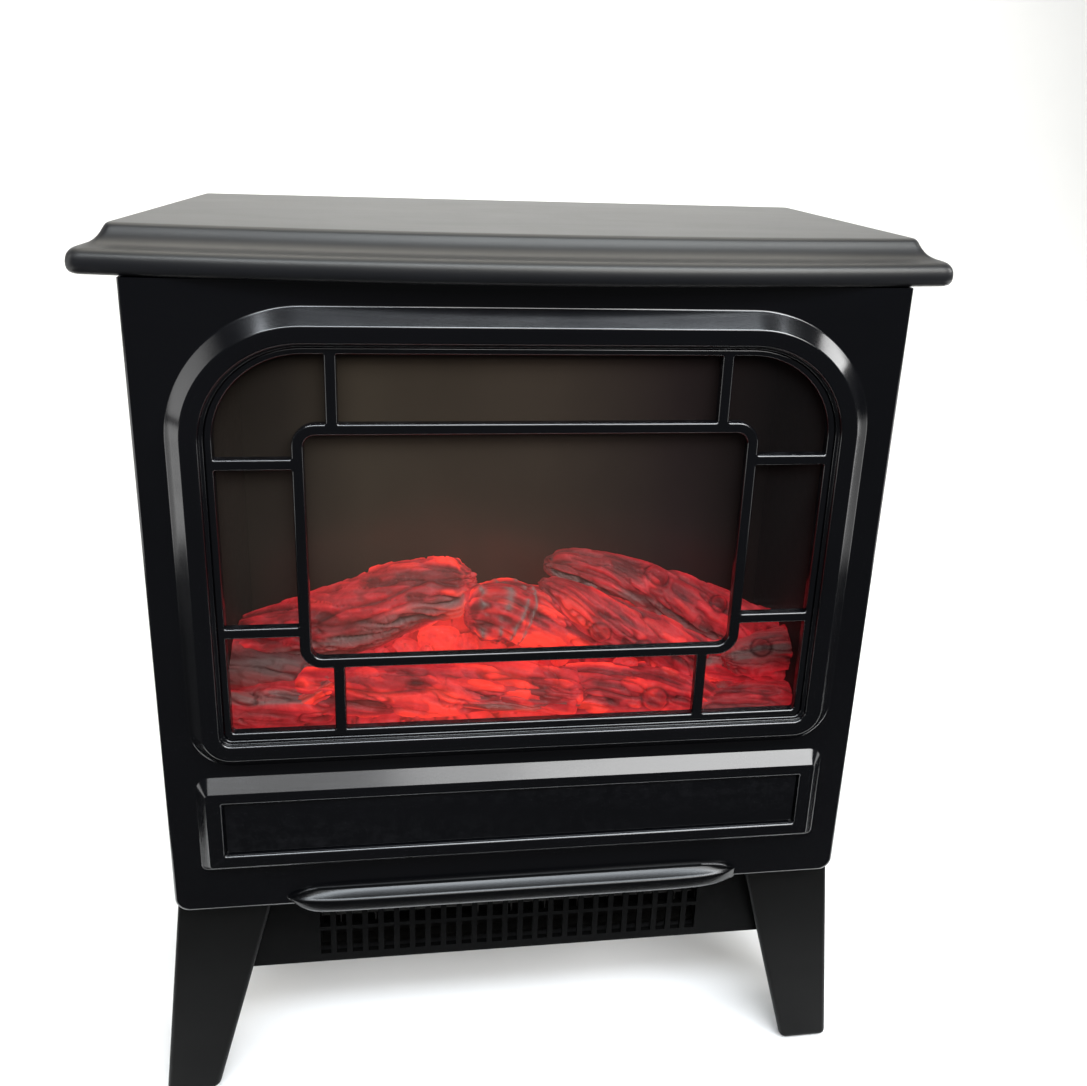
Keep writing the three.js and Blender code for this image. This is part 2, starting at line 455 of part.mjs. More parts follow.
// cross-flow fan
const SHAFT_N = 12;
{
  const { y, z, r, x } = FAN;
  add('fan_shaft', cyl('x', 3, y, z, 2.5, 2 * x + 22, SHAFT_N), 'steel');
  const parts = [];
  for (const cx of [-x + 0.8, 0, x - 0.8]) parts.push(cyl('x', cx, y, z, r, 1.6, 20));
  for (let i = 0; i < 12; i++) {
    const a = (i / 12) * Math.PI * 2;
    const t = new THREE.BoxGeometry(2 * x - 0.8, 1.0, 6.5);
    t.rotateX(0.55);
    t.translate(0, 0, r - 4.2);
    t.rotateX(a);
    t.translate(0, y, z);
    parts.push(solid(t));
  }
  add('fan_impeller', join(parts).subtract(cyl('x', 0, y, z, 2.85, 300, SHAFT_N)), 'nylon');
  // scroll: a bent sheet round the rear of the impeller, with end plates
  const pts = [], ro = r + 2.6;
  for (let i = 0; i <= 12; i++) {
    const a = (-100 + i * 15) * Math.PI / 180;
    pts.push([y + ro * Math.cos(a), z + ro * Math.sin(a)]);
  }
  const back = pts.map(([py, pz]) => [y + (py - y) * (1 + SHEET / ro), z + (pz - z) * (1 + SHEET / ro)]).reverse();
  const sheet = plateX(polygon([...pts, ...back]), -x - 3, x + 3);
  const lip = box(-x - 3, x + 3, -44.6, y - 2, z - ro - SHEET - 0.2, z - ro + 0.2);
  const ends = [-1, 1].map((s) => {
    const a = s * (x + 1.6), b = s * (x + 3.2);
    return box(Math.min(a, b), Math.max(a, b), -40, y + ro + SHEET, z - ro - SHEET, z + ro)
      .subtract(cyl('x', s * x, y, z, 6, 20, 14));
  });
  add('fan_scroll', join([sheet, lip, ...ends]), 'steel');
  add('fan_end_bush', cyl('x', -x - 2.6, y, z, 5.6, 5, 14).subtract(cyl('x', -x, y, z, 2.62, 20, 16)), 'nylon');
  add('fan_motor', join([cyl('x', 132, y, z, 19, 20, 18), cyl('x', 118, y, z, 8, 12, 14)])
    .subtract(cyl('x', 115, y, z, 2.9, 20, 16)), 'black_steel');
}

// ------------------------------------------------------------------- firebox
const FB_X = 153, FB_Y0 = -84.6, FB_Y1 = 56, FB_Z0 = 222, FB_Z1 = 456;
{
  const t = SHEET;
  let p = box(-FB_X, FB_X, FB_Y0, FB_Y1, FB_Z0, FB_Z1 + t)
    .subtract(box(-FB_X + t, FB_X - t, FB_Y0 - 2, FB_Y1 + 2, FB_Z0 - 2, FB_Z1));
  p = p.subtract(cyl('x', -FB_X, ROTOR.y, ROTOR.z, 4.2, 10, 12)).subtract(cyl('x', FB_X, ROTOR.y, ROTOR.z, 4.2, 10, 12));
  add('firebox_liner', p, 'black_steel');
}
add('firebox_floor', box(-FB_X, FB_X, FB_Y0, FB_Y1, FB_Z0 - GAP - SHEET, FB_Z0 - GAP), 'black_steel');
add('firebox_back', box(-FB_X + SHEET + GAP, FB_X - SHEET - GAP, FB_Y1 - SHEET, FB_Y1, FB_Z0, FB_Z1), 'foil');
add('flame_screen', box(-FB_X + SHEET + GAP, FB_X - SHEET - GAP, -4.5, -2, FB_Z0 + 0.3, FB_Z1 - 0.3), 'screen');
add('ember_led_board', box(-120, 120, -66, -22, FB_Z0, FB_Z0 + 1.6), 'board');
add('flame_led_board', box(-110, 110, 34, 35.6, 226, 240), 'board');

// log and ember bed: a hollow-backed moulding, here its outer bulk
{
  const log = (x0, y0, z0, x1, y1, z1, r0, r1, n = 8) => {
    const a = new THREE.Vector3(x0, y0, z0), b = new THREE.Vector3(x1, y1, z1);
    const g = new THREE.CylinderGeometry(r1, r0, a.distanceTo(b), n);
    g.applyQuaternion(new THREE.Quaternion().setFromUnitVectors(new THREE.Vector3(0, 1, 0), b.clone().sub(a).normalize()));
    g.translate((x0 + x1) / 2, (y0 + y1) / 2, (z0 + z1) / 2);
    return solid(g);
  };
  const bed = plateX(polygon([[-80, 226], [-9, 226], [-9, 270], [-30, 272], [-55, 252], [-80, 236]]), -151.2, 151.2);
  const all = join([bed,
    log(-151, -38, 261, -37, -38, 294, 14.4, 15.8), // upper left log
    log(20, -30, 304, 151, -40, 256, 8.6, 14.4), // upper right log, rear limb
    log(15, -42, 295, 104, -52, 254, 6.7, 12.5), // upper right log, front limb
    log(-22, -46, 281, 42, -40, 266, 14.4, 14.4), // centre stump
    log(26, -64, 246, 110, -62, 232, 12, 7.7), // front right log
    log(95, -68, 234, 152, -68, 237, 7.7, 8.6), // small right log
    log(104, -47, 250, 152, -45, 253, 12.5, 16), // rear right log
    log(146, -47, 258, 133, -64, 267, 9.6, 9.6), // short upright log end
    log(-116, -64, 250, 31, -66, 247, 10.6, 12), // long front log
    log(-152, -66, 245, -97, -66, 248, 9.6, 10.6), // front left log
    log(-152, -52, 259, -117, -52, 256, 13.4, 13.4), // rear left log
  ]);
  add('log_set', all.intersect(box(-151.2, 151.2, -80.5, -8, 226, 330)), 'log_resin');
}

// flame rotor: shaft with rows of bent reflector fingers
{
  const { y, z, r, x } = ROTOR;
  add('flame_rotor_shaft', cyl('x', 3, y, z, 2.0, 314, SHAFT_N), 'steel');
  const parts = [cyl('x', 0, y, z, 4, 2 * x, 12)];
  for (let k = 0; k < 10; k++) for (let i = 0; i < 3; i++) {
    const t = new THREE.BoxGeometry(18, 0.8, r - 2.5);
    t.translate(0, 0, (r - 2.5) / 2 + 2.5);
    t.rotateX((i / 3) * Math.PI * 2 + k * 0.6);
    t.translate((k - 4.5) * 26, y, z);
    parts.push(solid(t));
  }
  add('rotor_reflectors', join(parts).subtract(cyl('x', 0, y, z, 2.35, 400, SHAFT_N)), 'foil');
  add('rotor_motor', join([cyl('x', 161, y, z, 15, 14, 16), box(FB_X + GAP, FB_X + GAP + 1.2, y - 22, y + 22, z - 6, z + 6)])
    .subtract(cyl('x', 153, y, z, 2.5, 20, 12)), 'steel');
  const prof = [[2.12, -3], [3.8, -3], [3.8, 0.2], [6.5, 0.2], [6.5, 2.2], [2.12, 2.2], [2.12, -3]];
  const g = new THREE.LatheGeometry(prof.map(([rr, v]) => new THREE.Vector2(rr, v)), 16);
  g.rotateZ(-Math.PI / 2);
  g.translate(-FB_X + SHEET + 0.1, y, z);
  add('rotor_end_bush', solid(g), 'nylon');
}

// ------------------------------------------------------------------ controls
SWITCH_X.forEach((x, i) => {
  const tag = ['flame', 'low_heat', 'high_heat'][i];
  const y = ROCKER_Y, z = SWITCH_Z;
  const barrel = box(x - 7.3, x + 7.3, 66, REAR + SHEET + 0.3, z - 10.6, z + 10.6);
  const bezel = box(x - 9, x + 9, REAR + SHEET + 0.15, REAR + SHEET + 2.0, z - 12.4, z + 12.4);
  const tabs = [-3.5, 0, 3.5].map((d) => box(x - 2.4, x + 2.4, 58, 67, z + d * 2 - 0.4, z + d * 2 + 0.4));
  const cavity = box(x - 6.4, x + 6.4, 76, REAR + 10, z - 9.9, z + 9.9);
  add(`${tag}_switch_body`, join([barrel, bezel, ...tabs]).subtract(cavity), 'control_black');
  const g = polygon([[3.4, -8.8], [1.7, 0], [3.4, 8.8], [0, 8.7], [-5, 5.2], [-5, -5.2], [0, -8.7]]);
  const e = new THREE.ExtrudeGeometry(g, { depth: 12.2, bevelEnabled: false });
  e.rotateY(Math.PI / 2);
  e.rotateX(Math.PI / 2);
  e.translate(-6.1, 0, 0);
  e.rotateX(-10 * Math.PI / 180);
  e.translate(x, y, z);
  add(`${tag}_rocker`, solid(e), 'control_black');
});
{
  const y = REAR + SHEET;
  add('thermostat_body', join([cyl('y', KNOB_X, 72, KNOB_Z, 16, 26, 18), cyl('y', KNOB_X, 85.2, KNOB_Z, 3.9, 1.4, 14)])
    .subtract(cyl('y', KNOB_X, 84, KNOB_Z, 3.2, 12, 14)), 'nylon');
  add('thermostat_spindle', cyl('y', KNOB_X, 88.2, KNOB_Z, 2.9, 17, 12), 'steel');
  const prof = [[0, 0], [15, 0], [15.6, 1], [14.6, 8.5], [13.6, 9.6], [0, 9.6]];
  const g = new THREE.LatheGeometry(prof.map(([r, v]) => new THREE.Vector2(r, v)), 24);
  g.translate(KNOB_X, y + 0.8, KNOB_Z);
  const flutes = [];
  for (let i = 0; i < 12; i++) {
    const a = (i + 0.5) / 12 * Math.PI * 2;
    flutes.push(cyl('y', KNOB_X + 16.2 * Math.cos(a), y + 9, KNOB_Z + 16.2 * Math.sin(a), 1.8, 14, 6));
  }
  add('thermostat_knob', solid(g).subtract(join(flutes)).subtract(cyl('y', KNOB_X, y, KNOB_Z, 3.25, 20, 12))
    .subtract(box(KNOB_X - 0.7, KNOB_X + 0.7, y + 9.6, y + 20, KNOB_Z + 4, KNOB_Z + 13)), 'control_black');
}
{
  const prof = [[4.2, -5], [6.7, -5], [6.7, SHEET + 0.2], [9.5, SHEET + 0.2], [9.5, SHEET + 1.6], [7.2, SHEET + 6], [4.2, SHEET + 6], [4.2, -5]];
  const g = new THREE.LatheGeometry(prof.map(([r, v]) => new THREE.Vector2(r, v)), 16);
  g.translate(-150, REAR, 156);
  add('cord_inlet_bush', solid(g), 'rubber');
}
{
  const board = box(20, 110, 74, 75.6, 300, 360);
  const posts = [[26, 306], [104, 306], [26, 354], [104, 354]].map(([x, z]) => cyl('y', x, 80.4, z, 3, 10.6, 8));
  const chips = [box(34, 56, 64, 74.4, 324, 340), box(66, 84, 60, 74.4, 322, 342)];
  add('control_board', join([board, ...posts, ...chips]), 'board');
  const block = join([box(-70, -20, 74, 85.6, 318, 334), ...[0, 1, 2, 3, 4].map((i) => box(-68.5 + i * 10, -61.5 + i * 10, 70, 75, 321, 331))]);
  add('terminal_block', block, 'nylon');
}

export default root;
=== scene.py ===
import json
import math

import bmesh
import bpy
import numpy as np
from mathutils import Matrix, Vector, geometry


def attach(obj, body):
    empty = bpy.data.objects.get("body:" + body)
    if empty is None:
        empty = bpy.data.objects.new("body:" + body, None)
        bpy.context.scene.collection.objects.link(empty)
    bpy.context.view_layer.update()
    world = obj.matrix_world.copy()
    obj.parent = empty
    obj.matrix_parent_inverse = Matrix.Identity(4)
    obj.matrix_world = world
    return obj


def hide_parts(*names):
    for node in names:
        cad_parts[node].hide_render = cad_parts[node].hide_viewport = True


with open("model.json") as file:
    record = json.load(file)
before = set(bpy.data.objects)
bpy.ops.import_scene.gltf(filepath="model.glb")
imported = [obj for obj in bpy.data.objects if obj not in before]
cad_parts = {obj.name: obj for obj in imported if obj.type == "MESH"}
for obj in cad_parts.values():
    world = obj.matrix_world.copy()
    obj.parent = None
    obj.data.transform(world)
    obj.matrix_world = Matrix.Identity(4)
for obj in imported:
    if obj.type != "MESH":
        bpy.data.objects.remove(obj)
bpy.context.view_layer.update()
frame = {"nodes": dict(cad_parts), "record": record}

MM = 0.001
scene = bpy.context.scene
NODES = frame["nodes"]

# ------------------------------------------------------------------ camera
cam_data = bpy.data.cameras.new("camera")
cam_data.sensor_fit = "HORIZONTAL"
cam_data.sensor_width = 36.0
cam_data.lens = 36.0 * 869.0 / 1087.0
cam_data.shift_x = 0.0
cam_data.shift_y = -0.167
cam_data.clip_start = 0.01
cam_data.clip_end = 50.0
cam = bpy.data.objects.new("camera", cam_data)
scene.collection.objects.link(cam)
cam.matrix_world = Matrix((
    (0.99351, -0.00351, -0.11369, -0.0408),
    (-0.10885, 0.26075, -0.95926, -0.4719),
    (0.03301, 0.96541, 0.25867, 0.5410),
    (0, 0, 0, 1)))
scene.camera = cam


# ------------------------------------------------------------------ mesh helpers
class Builder:
    """Collects vertices (mm) and faces for one mesh."""

    def __init__(self):
        self.v, self.f = [], []

    def ring(self, pts):
        i = len(self.v)
        self.v.extend([tuple(map(float, p)) for p in pts])
        return list(range(i, i + len(pts)))

    def bridge(self, a, b, closed=True):
        n = len(a)
        for i in range(n if closed else n - 1):
            j = (i + 1) % n
            self.f.append((a[i], a[j], b[j], b[i]))

    def face(self, idx):
        self.f.append(tuple(idx))

    def fan(self, ring, centre):
        c = len(self.v)
        self.v.append(tuple(map(float, centre)))
        n = len(ring)
        for i in range(n):
            self.f.append((ring[i], ring[(i + 1) % n], c))

    def fill(self, outer, holes, axes=(0, 2), flip=False):
        """Triangles between one outer loop and holes, all in one plane."""
        loops = [outer] + list(holes)
        idx = [i for loop in loops for i in loop]
        pts = [Vector((self.v[i][axes[0]], self.v[i][axes[1]])) for i in idx]
        edges, k = [], 0
        for loop in loops:
            n = len(loop)
            edges += [(k + i, k + (i + 1) % n) for i in range(n)]
            k += n
        co, _, tris, orig, _, _ = geometry.delaunay_2d_cdt(pts, edges, [], 0, 1e-7)

        def inside(p, loop):
            c, n = False, len(loop)
            for i in range(n):
                a, b = self.v[loop[i]], self.v[loop[(i + 1) % n]]
                ax, ay, bx, by = a[axes[0]], a[axes[1]], b[axes[0]], b[axes[1]]
                if (ay > p[1]) != (by > p[1]) and p[0] < (bx - ax) * (p[1] - ay) / (by - ay) + ax:
                    c = not c
            return c
        for t in tris:
            m = (co[t[0]] + co[t[1]] + co[t[2]]) / 3
            if not inside(m, outer) or any(inside(m, h) for h in holes):
                continue
            a, b, c = co[t[0]], co[t[1]], co[t[2]]
            if abs((b - a).cross(c - a)) < 1e-9:
                continue
            tri = [idx[orig[q][0]] for q in t]
            self.f.append(tuple(reversed(tri)) if flip else tuple(tri))

    def obj(self, name, mat, angle=32, fix=True, weld=0.0005):
        me = bpy.data.meshes.new(name)
        me.from_pydata([(x * MM, y * MM, z * MM) for x, y, z in self.v], [], self.f)
        bm = bmesh.new()
        bm.from_mesh(me)
        bmesh.ops.remove_doubles(bm, verts=bm.verts, dist=weld * MM)
        bmesh.ops.dissolve_degenerate(bm, edges=bm.edges, dist=1e-8)
        loose = [v for v in bm.verts if not v.link_faces]
        bmesh.ops.delete(bm, geom=loose, context="VERTS")
        if fix:
            bmesh.ops.recalc_face_normals(bm, faces=bm.faces)
        bm.to_mesh(me)
        bm.free()
        o = bpy.data.objects.new(name, me)
        scene.collection.objects.link(o)
        finish_shading(o, angle)
        if mat:
            me.materials.append(mat)
        return o


def finish_shading(o, angle=32, weighted=True):
    me = o.data
    me.polygons.foreach_set("use_smooth", [True] * len(me.polygons))
    me.set_sharp_from_angle(angle=math.radians(angle))
    if weighted:
        m = o.modifiers.new("weighted", "WEIGHTED_NORMAL")
        m.keep_sharp = True
        m.weight = 60


def from_bm(bm, name, mat, angle=32, weighted=True):
    me = bpy.data.meshes.new(name)
    bm.to_mesh(me)
    bm.free()
    o = bpy.data.objects.new(name, me)
    scene.collection.objects.link(o)
    finish_shading(o, angle, weighted)
    if mat:
        me.materials.append(mat)
    return o


def apply_modifiers(o):
    dg = bpy.context.evaluated_depsgraph_get()
    me = bpy.data.meshes.new_from_object(o.evaluated_get(dg))
    o.modifiers.clear()
    old = o.data
    o.data = me
    bpy.data.meshes.remove(old)
    return o


def boolean(a, b, op):
    m = a.modifiers.new("bool", "BOOLEAN")
    m.operation = op
    m.solver = "EXACT"
    m.object = b
    bpy.context.view_layer.update()
    apply_modifiers(a)
    bpy.data.objects.remove(b)
    return a


def rrect(x0, x1, z0, z1, rt, rb, kt=10, kb=6, ns=1):
    """Rounded rectangle in X-Z, counter-clockwise from the front, fixed point count."""
    pts = []

    def corner(cx, cz, r, a0, k):
        for i in range(k + 1):
            a = a0 + i / k * math.pi / 2
            pts.append((cx + r * math.cos(a), cz + r * math.sin(a)))

    def straight(p, q):
        for i in range(1, ns):
            t = i / ns
            pts.append((p[0] + (q[0] - p[0]) * t, p[1] + (q[1] - p[1]) * t))
    corner(x1 - rb, z0 + rb, rb, -math.pi / 2, kb)
    straight((x1, z0 + rb), (x1, z1 - rt))
    corner(x1 - rt, z1 - rt, rt, 0, kt)
    straight((x1 - rt, z1), (x0 + rt, z1))
    corner(x0 + rt, z1 - rt, rt, math.pi / 2, kt)
    straight((x0, z1 - rt), (x0, z0 + rb))
    corner(x0 + rb, z0 + rb, rb, math.pi, kb)
    straight((x0 + rb, z0), (x1 - rb, z0))
    return pts


def fillet(profile, seg=4):
    """profile: list of (u, w, r); returns (u, w) points with each corner rounded by r."""
    out = []
    n = len(profile)
    for i, (u, w, r) in enumerate(profile):
        if i == 0 or i == n - 1 or r <= 0:
            out.append((u, w))
            continue
        p = np.array([u, w], float)
        a = np.array(profile[i - 1][:2], float) - p
        b = np.array(profile[i + 1][:2], float) - p
        la, lb = np.linalg.norm(a), np.linalg.norm(b)
        a, b = a / la, b / lb
        th = math.acos(max(-1, min(1, float(a @ b))))
        t = min(r / math.tan(th / 2), la * 0.49, lb * 0.49)
        rr = t * math.tan(th / 2)
        m = (a + b) / np.linalg.norm(a + b)
        c = p + m * (rr / math.sin(th / 2))
        s, e = p + a * t - c, p + b * t - c
        total = math.pi - th
        for k in range(seg + 1):
            q = k / seg
            v = (math.sin((1 - q) * total) * s + math.sin(q * total) * e) / math.sin(total)
            out.append(tuple(c + v))
    return out


def offset_loop(pts, d):
    """Moves a closed 2-D loop (counter-clockwise) outward by d with mitred corners."""
    n = len(pts)
    out = []
    for i in range(n):
        p0, p1, p2 = (np.array(pts[(i + k) % n], float) for k in (-1, 0, 1))
        e1, e2 = p1 - p0, p2 - p1
        e1 /= np.linalg.norm(e1)
        e2 /= np.linalg.norm(e2)
        n1, n2 = np.array([e1[1], -e1[0]]), np.array([e2[1], -e2[0]])
        m = n1 + n2
        m /= max(1e-9, float(m @ n1))
        out.append(tuple(p1 + m * d))
    return out


# ------------------------------------------------------------------ materials
def new_mat(name):
    m = bpy.data.materials.new(name)
    m.use_nodes = True
    nt = m.node_tree
    nt.nodes.clear()
    out = nt.nodes.new("ShaderNodeOutputMaterial")
    b = nt.nodes.new("ShaderNodeBsdfPrincipled")
    nt.links.new(b.outputs[0], out.inputs[0])
    return m, nt, b, out


def node(nt, kind, **kw):
    n = nt.nodes.new(kind)
    for k, v in kw.items():
        setattr(n, k, v)
    return n


def noise(nt, scale, detail=4, rough=0.55, coord="Object", stretch=None, distortion=0.0):
    tc = node(nt, "ShaderNodeTexCoord")
    mp = node(nt, "ShaderNodeMapping")
    if stretch:
        mp.inputs["Scale"].default_value = stretch
    nt.links.new(tc.outputs[coord], mp.inputs[0])
    t = node(nt, "ShaderNodeTexNoise")
    t.inputs["Scale"].default_value = scale
    t.inputs["Detail"].default_value = detail
    t.inputs["Roughness"].default_value = rough
    t.inputs["Distortion"].default_value = distortion
    nt.links.new(mp.outputs[0], t.inputs["Vector"])
    return t


def ramp(nt, src, stops):
    r = node(nt, "ShaderNodeValToRGB")
    els = r.color_ramp.elements
    while len(els) < len(stops):
        els.new(0.5)
    for e, (p, c) in zip(els, stops):
        e.position = p
        e.color = (*c, 1) if len(c) == 3 else c
    nt.links.new(src, r.inputs[0])
    return r


def map_range(nt, src, a, b, c, d, clamp=True):
    m = node(nt, "ShaderNodeMapRange")
    m.clamp = clamp
    for k, v in zip(("From Min", "From Max", "To Min", "To Max"), (a, b, c, d)):
        m.inputs[k].default_value = v
    nt.links.new(src, m.inputs[0])
    return m


def bump(nt, b, heights, strength=1.0):
    """heights: list of (socket, distance in metres), stacked."""
    prev = None
    for src, dist in heights:
        n = node(nt, "ShaderNodeBump")
        n.inputs["Strength"].default_value = strength
        n.inputs["Distance"].default_value = dist
        nt.links.new(src, n.inputs["Height"])
        if prev:
            nt.links.new(prev.outputs[0], n.inputs["Normal"])
        prev = n
    nt.links.new(prev.outputs[0], b.inputs["Normal"])


def plastic(name, dark, light, rough, grain=0.00002, ior_level=0.35, wave=0.00006, grain_scale=900.0, coat=0.0, vary=(0.86, 1.22)):
    """Moulded plastic: slight colour drift, fine grain, low moulding waves, edge wear."""
    m, nt, b, _ = new_mat(name)
    big = noise(nt, 9.0, 3, 0.5)
    fine = noise(nt, grain_scale, 2, 0.6)
    smear = noise(nt, 26.0, 5, 0.62, stretch=(0.35, 1, 1.6), distortion=0.6)
    col = ramp(nt, big.outputs["Fac"], [(0.3, dark), (0.72, light)])
    geo = node(nt, "ShaderNodeNewGeometry")
    edge = map_range(nt, geo.outputs["Pointiness"], 0.52, 0.62, 0.0, 1.0)
    wearn = noise(nt, 140.0, 4, 0.7)
    wear = node(nt, "ShaderNodeMath", operation="MULTIPLY")
    nt.links.new(edge.outputs[0], wear.inputs[0])
    wr = map_range(nt, wearn.outputs["Fac"], 0.45, 0.7, 0.0, 0.55)
    nt.links.new(wr.outputs[0], wear.inputs[1])
    mix = node(nt, "ShaderNodeMix", data_type="RGBA")
    nt.links.new(wear.outputs[0], mix.inputs[0])
    nt.links.new(col.outputs[0], mix.inputs[6])
    mix.inputs[7].default_value = tuple(min(1, c * 3.2 + 0.012) for c in light) + (1,)
    nt.links.new(mix.outputs[2], b.inputs["Base Color"])
    r1 = map_range(nt, smear.outputs["Fac"], 0.3, 0.75, rough * vary[0], rough * vary[1])
    nt.links.new(r1.outputs[0], b.inputs["Roughness"])
    b.inputs["Specular IOR Level"].default_value = ior_level
    b.inputs["IOR"].default_value = 1.49
    b.inputs["Coat Weight"].default_value = coat
    bump(nt, b, [(big.outputs["Fac"], wave), (fine.outputs["Fac"], grain)])
    return m


def coated_steel(name, dark, light, rough=0.42, peel=0.00004, level=0.4):
    """Powder-coated sheet: orange peel, light dust, faint colour drift."""
    m, nt, b, _ = new_mat(name)
    peeln = noise(nt, 620.0, 3, 0.5)
    flat = noise(nt, 5.0, 3, 0.5)
    dust = noise(nt, 60.0, 6, 0.7)
    col = ramp(nt, flat.outputs["Fac"], [(0.3, dark), (0.7, light)])
    mix = node(nt, "ShaderNodeMix", data_type="RGBA")
    d = map_range(nt, dust.outputs["Fac"], 0.62, 0.78, 0.0, 0.25)
    nt.links.new(d.outputs[0], mix.inputs[0])
    nt.links.new(col.outputs[0], mix.inputs[6])
    mix.inputs[7].default_value = (0.05, 0.049, 0.046, 1)
    nt.links.new(mix.outputs[2], b.inputs["Base Color"])
    r = map_range(nt, dust.outputs["Fac"], 0.3, 0.8, rough * 0.9, rough * 1.25)
    nt.links.new(r.outputs[0], b.inputs["Roughness"])
    b.inputs["Specular IOR Level"].default_value = level
    bump(nt, b, [(flat.outputs["Fac"], 0.0003), (peeln.outputs["Fac"], peel)])
    return m


def metal(name, base, rough, stretch=(1, 14, 14), scale=120.0):
    m, nt, b, _ = new_mat(name)
    brush = noise(nt, scale, 4, 0.6, stretch=stretch)
    spots = noise(nt, 18.0, 5, 0.65)
    col = ramp(nt, spots.outputs["Fac"], [(0.3, tuple(c * 0.8 for c in base)), (0.7, base)])
    nt.links.new(col.outputs[0], b.inputs["Base Color"])
    b.inputs["Metallic"].default_value = 1.0
    r = map_range(nt, brush.outputs["Fac"], 0.3, 0.7, rough * 0.75, rough * 1.3)
    nt.links.new(r.outputs[0], b.inputs["Roughness"])
    bump(nt, b, [(brush.outputs["Fac"], 0.00002)])
    return m


GLOSS = plastic("mat_black_moulding", (0.0016, 0.0017, 0.0023), (0.0028, 0.0029, 0.0037), 0.15, grain=0.000005, ior_level=0.8, wave=0.00005)
LEGP = plastic("mat_leg_moulding", (0.004, 0.004, 0.0038), (0.006, 0.006, 0.0058), 0.38, grain=0.00001, ior_level=0.045)
GRILLE = plastic("mat_grille", (0.0016, 0.0016, 0.0016), (0.0026, 0.0026, 0.0026), 0.34, grain=0.00001, ior_level=0.03)
VISOR = plastic("mat_visor", (0.0016, 0.0017, 0.0020), (0.0028, 0.0029, 0.0032), 0.22, grain=0.000008, ior_level=0.38, wave=0.00005)
CONTROL = plastic("mat_control", (0.008, 0.008, 0.008), (0.013, 0.013, 0.013), 0.38, grain=0.00002)
RUBBER = plastic("mat_rubber", (0.012, 0.012, 0.012), (0.02, 0.02, 0.019), 0.75, grain=0.00004, ior_level=0.25)
NYLON = plastic("mat_nylon", (0.55, 0.52, 0.43), (0.68, 0.65, 0.56), 0.5, ior_level=0.4)
BOARD = plastic("mat_board", (0.01, 0.07, 0.025), (0.02, 0.11, 0.04), 0.4, ior_level=0.5)
CERAMIC = plastic("mat_ceramic", (0.62, 0.58, 0.5), (0.76, 0.73, 0.66), 0.7, ior_level=0.3)
SHEETM = coated_steel("mat_black_sheet", (0.010, 0.010, 0.0105), (0.015, 0.015, 0.0155))
INNER = coated_steel("mat_firebox", (0.012, 0.011, 0.010), (0.02, 0.018, 0.016), 0.6, level=0.25)
STEEL = metal("mat_steel", (0.56, 0.57, 0.58), 0.3)
# painted shade: a dark dull metal given to the heater element and frame in place of their own finish, so they read as
# in shade behind the grille
HEATER_PAINTED_SHADE = metal("mat_heater_painted_shade", (0.05, 0.048, 0.045), 0.5)
FOIL = metal("mat_foil", (0.8, 0.8, 0.82), 0.16, stretch=(1, 3, 3), scale=60.0)

# smoked glass: a thin tinted pane with painted light in its colour: warmer and lighter to the left of the middle, dark
# at the right and darker towards the bottom
GLASS, nt, b, _ = new_mat("mat_smoked_glass")
gn = noise(nt, 14.0, 4, 0.6, stretch=(1, 1, 0.5))
tc_ = node(nt, "ShaderNodeTexCoord")
sx_ = node(nt, "ShaderNodeSeparateXYZ")
nt.links.new(tc_.outputs["Object"], sx_.inputs[0])
side_ = map_range(nt, sx_.outputs[0], -0.15, 0.15, 0.0, 1.0)
# painted light: colour ramp across the pane, lighter and warmer left of the middle, darkest at the right
glass_painted_light = ramp(nt, side_.outputs[0], [(0.0, (0.034, 0.028, 0.022)), (0.12, (0.042, 0.034, 0.027)), (0.24, (0.098, 0.077, 0.055)), (0.52, (0.092, 0.070, 0.052)),
                                 (0.74, (0.038, 0.027, 0.026)), (0.9, (0.012, 0.011, 0.011))])
gd = map_range(nt, gn.outputs["Fac"], 0.3, 0.75, 0.85, 1.15)
gm = node(nt, "ShaderNodeVectorMath", operation="SCALE")
nt.links.new(glass_painted_light.outputs[0], gm.inputs[0])
# painted shade: the pane's colour is dimmed towards the bottom, in front of the logs
glass_low_painted_shade = map_range(nt, sx_.outputs[2], 0.285, 0.345, 0.5, 0.9)
gk = node(nt, "ShaderNodeMath", operation="MULTIPLY")
nt.links.new(gd.outputs[0], gk.inputs[0])
nt.links.new(glass_low_painted_shade.outputs[0], gk.inputs[1])
nt.links.new(gk.outputs[0], gm.inputs["Scale"])
nt.links.new(gm.outputs[0], b.inputs["Base Color"])
b.inputs["Alpha"].default_value = 0.24
gr = map_range(nt, gn.outputs["Fac"], 0.35, 0.8, 0.02, 0.07)
nt.links.new(gr.outputs[0], b.inputs["Roughness"])
b.inputs["IOR"].default_value = 1.45
bump(nt, b, [(gn.outputs["Fac"], 0.00001)])

# smoked diffuser behind the logs
SCREEN, nt, b, _ = new_mat("mat_screen")
sn = noise(nt, 6.0, 4, 0.6)
sc = ramp(nt, sn.outputs["Fac"], [(0.3, (0.020, 0.017, 0.014)), (0.7, (0.034, 0.029, 0.024))])
nt.links.new(sc.outputs[0], b.inputs["Base Color"])
b.inputs["Roughness"].default_value = 0.35
b.inputs["Specular IOR Level"].default_value = 0.3
bump(nt, b, [(sn.outputs["Fac"], 0.0002)])


# ------------------------------------------------------------------ front panel
FRONT = -89.0


def arch(d, kt=26, kb=10):
    return rrect(-147.6 - d, 147.6 + d, 244.5 - d * 0.99, 445 + d * 1.0, 44.8 + d, 4 + d, kt, kb)


def with_y(pts, y):
    return [(x, y, z) for x, z in pts]


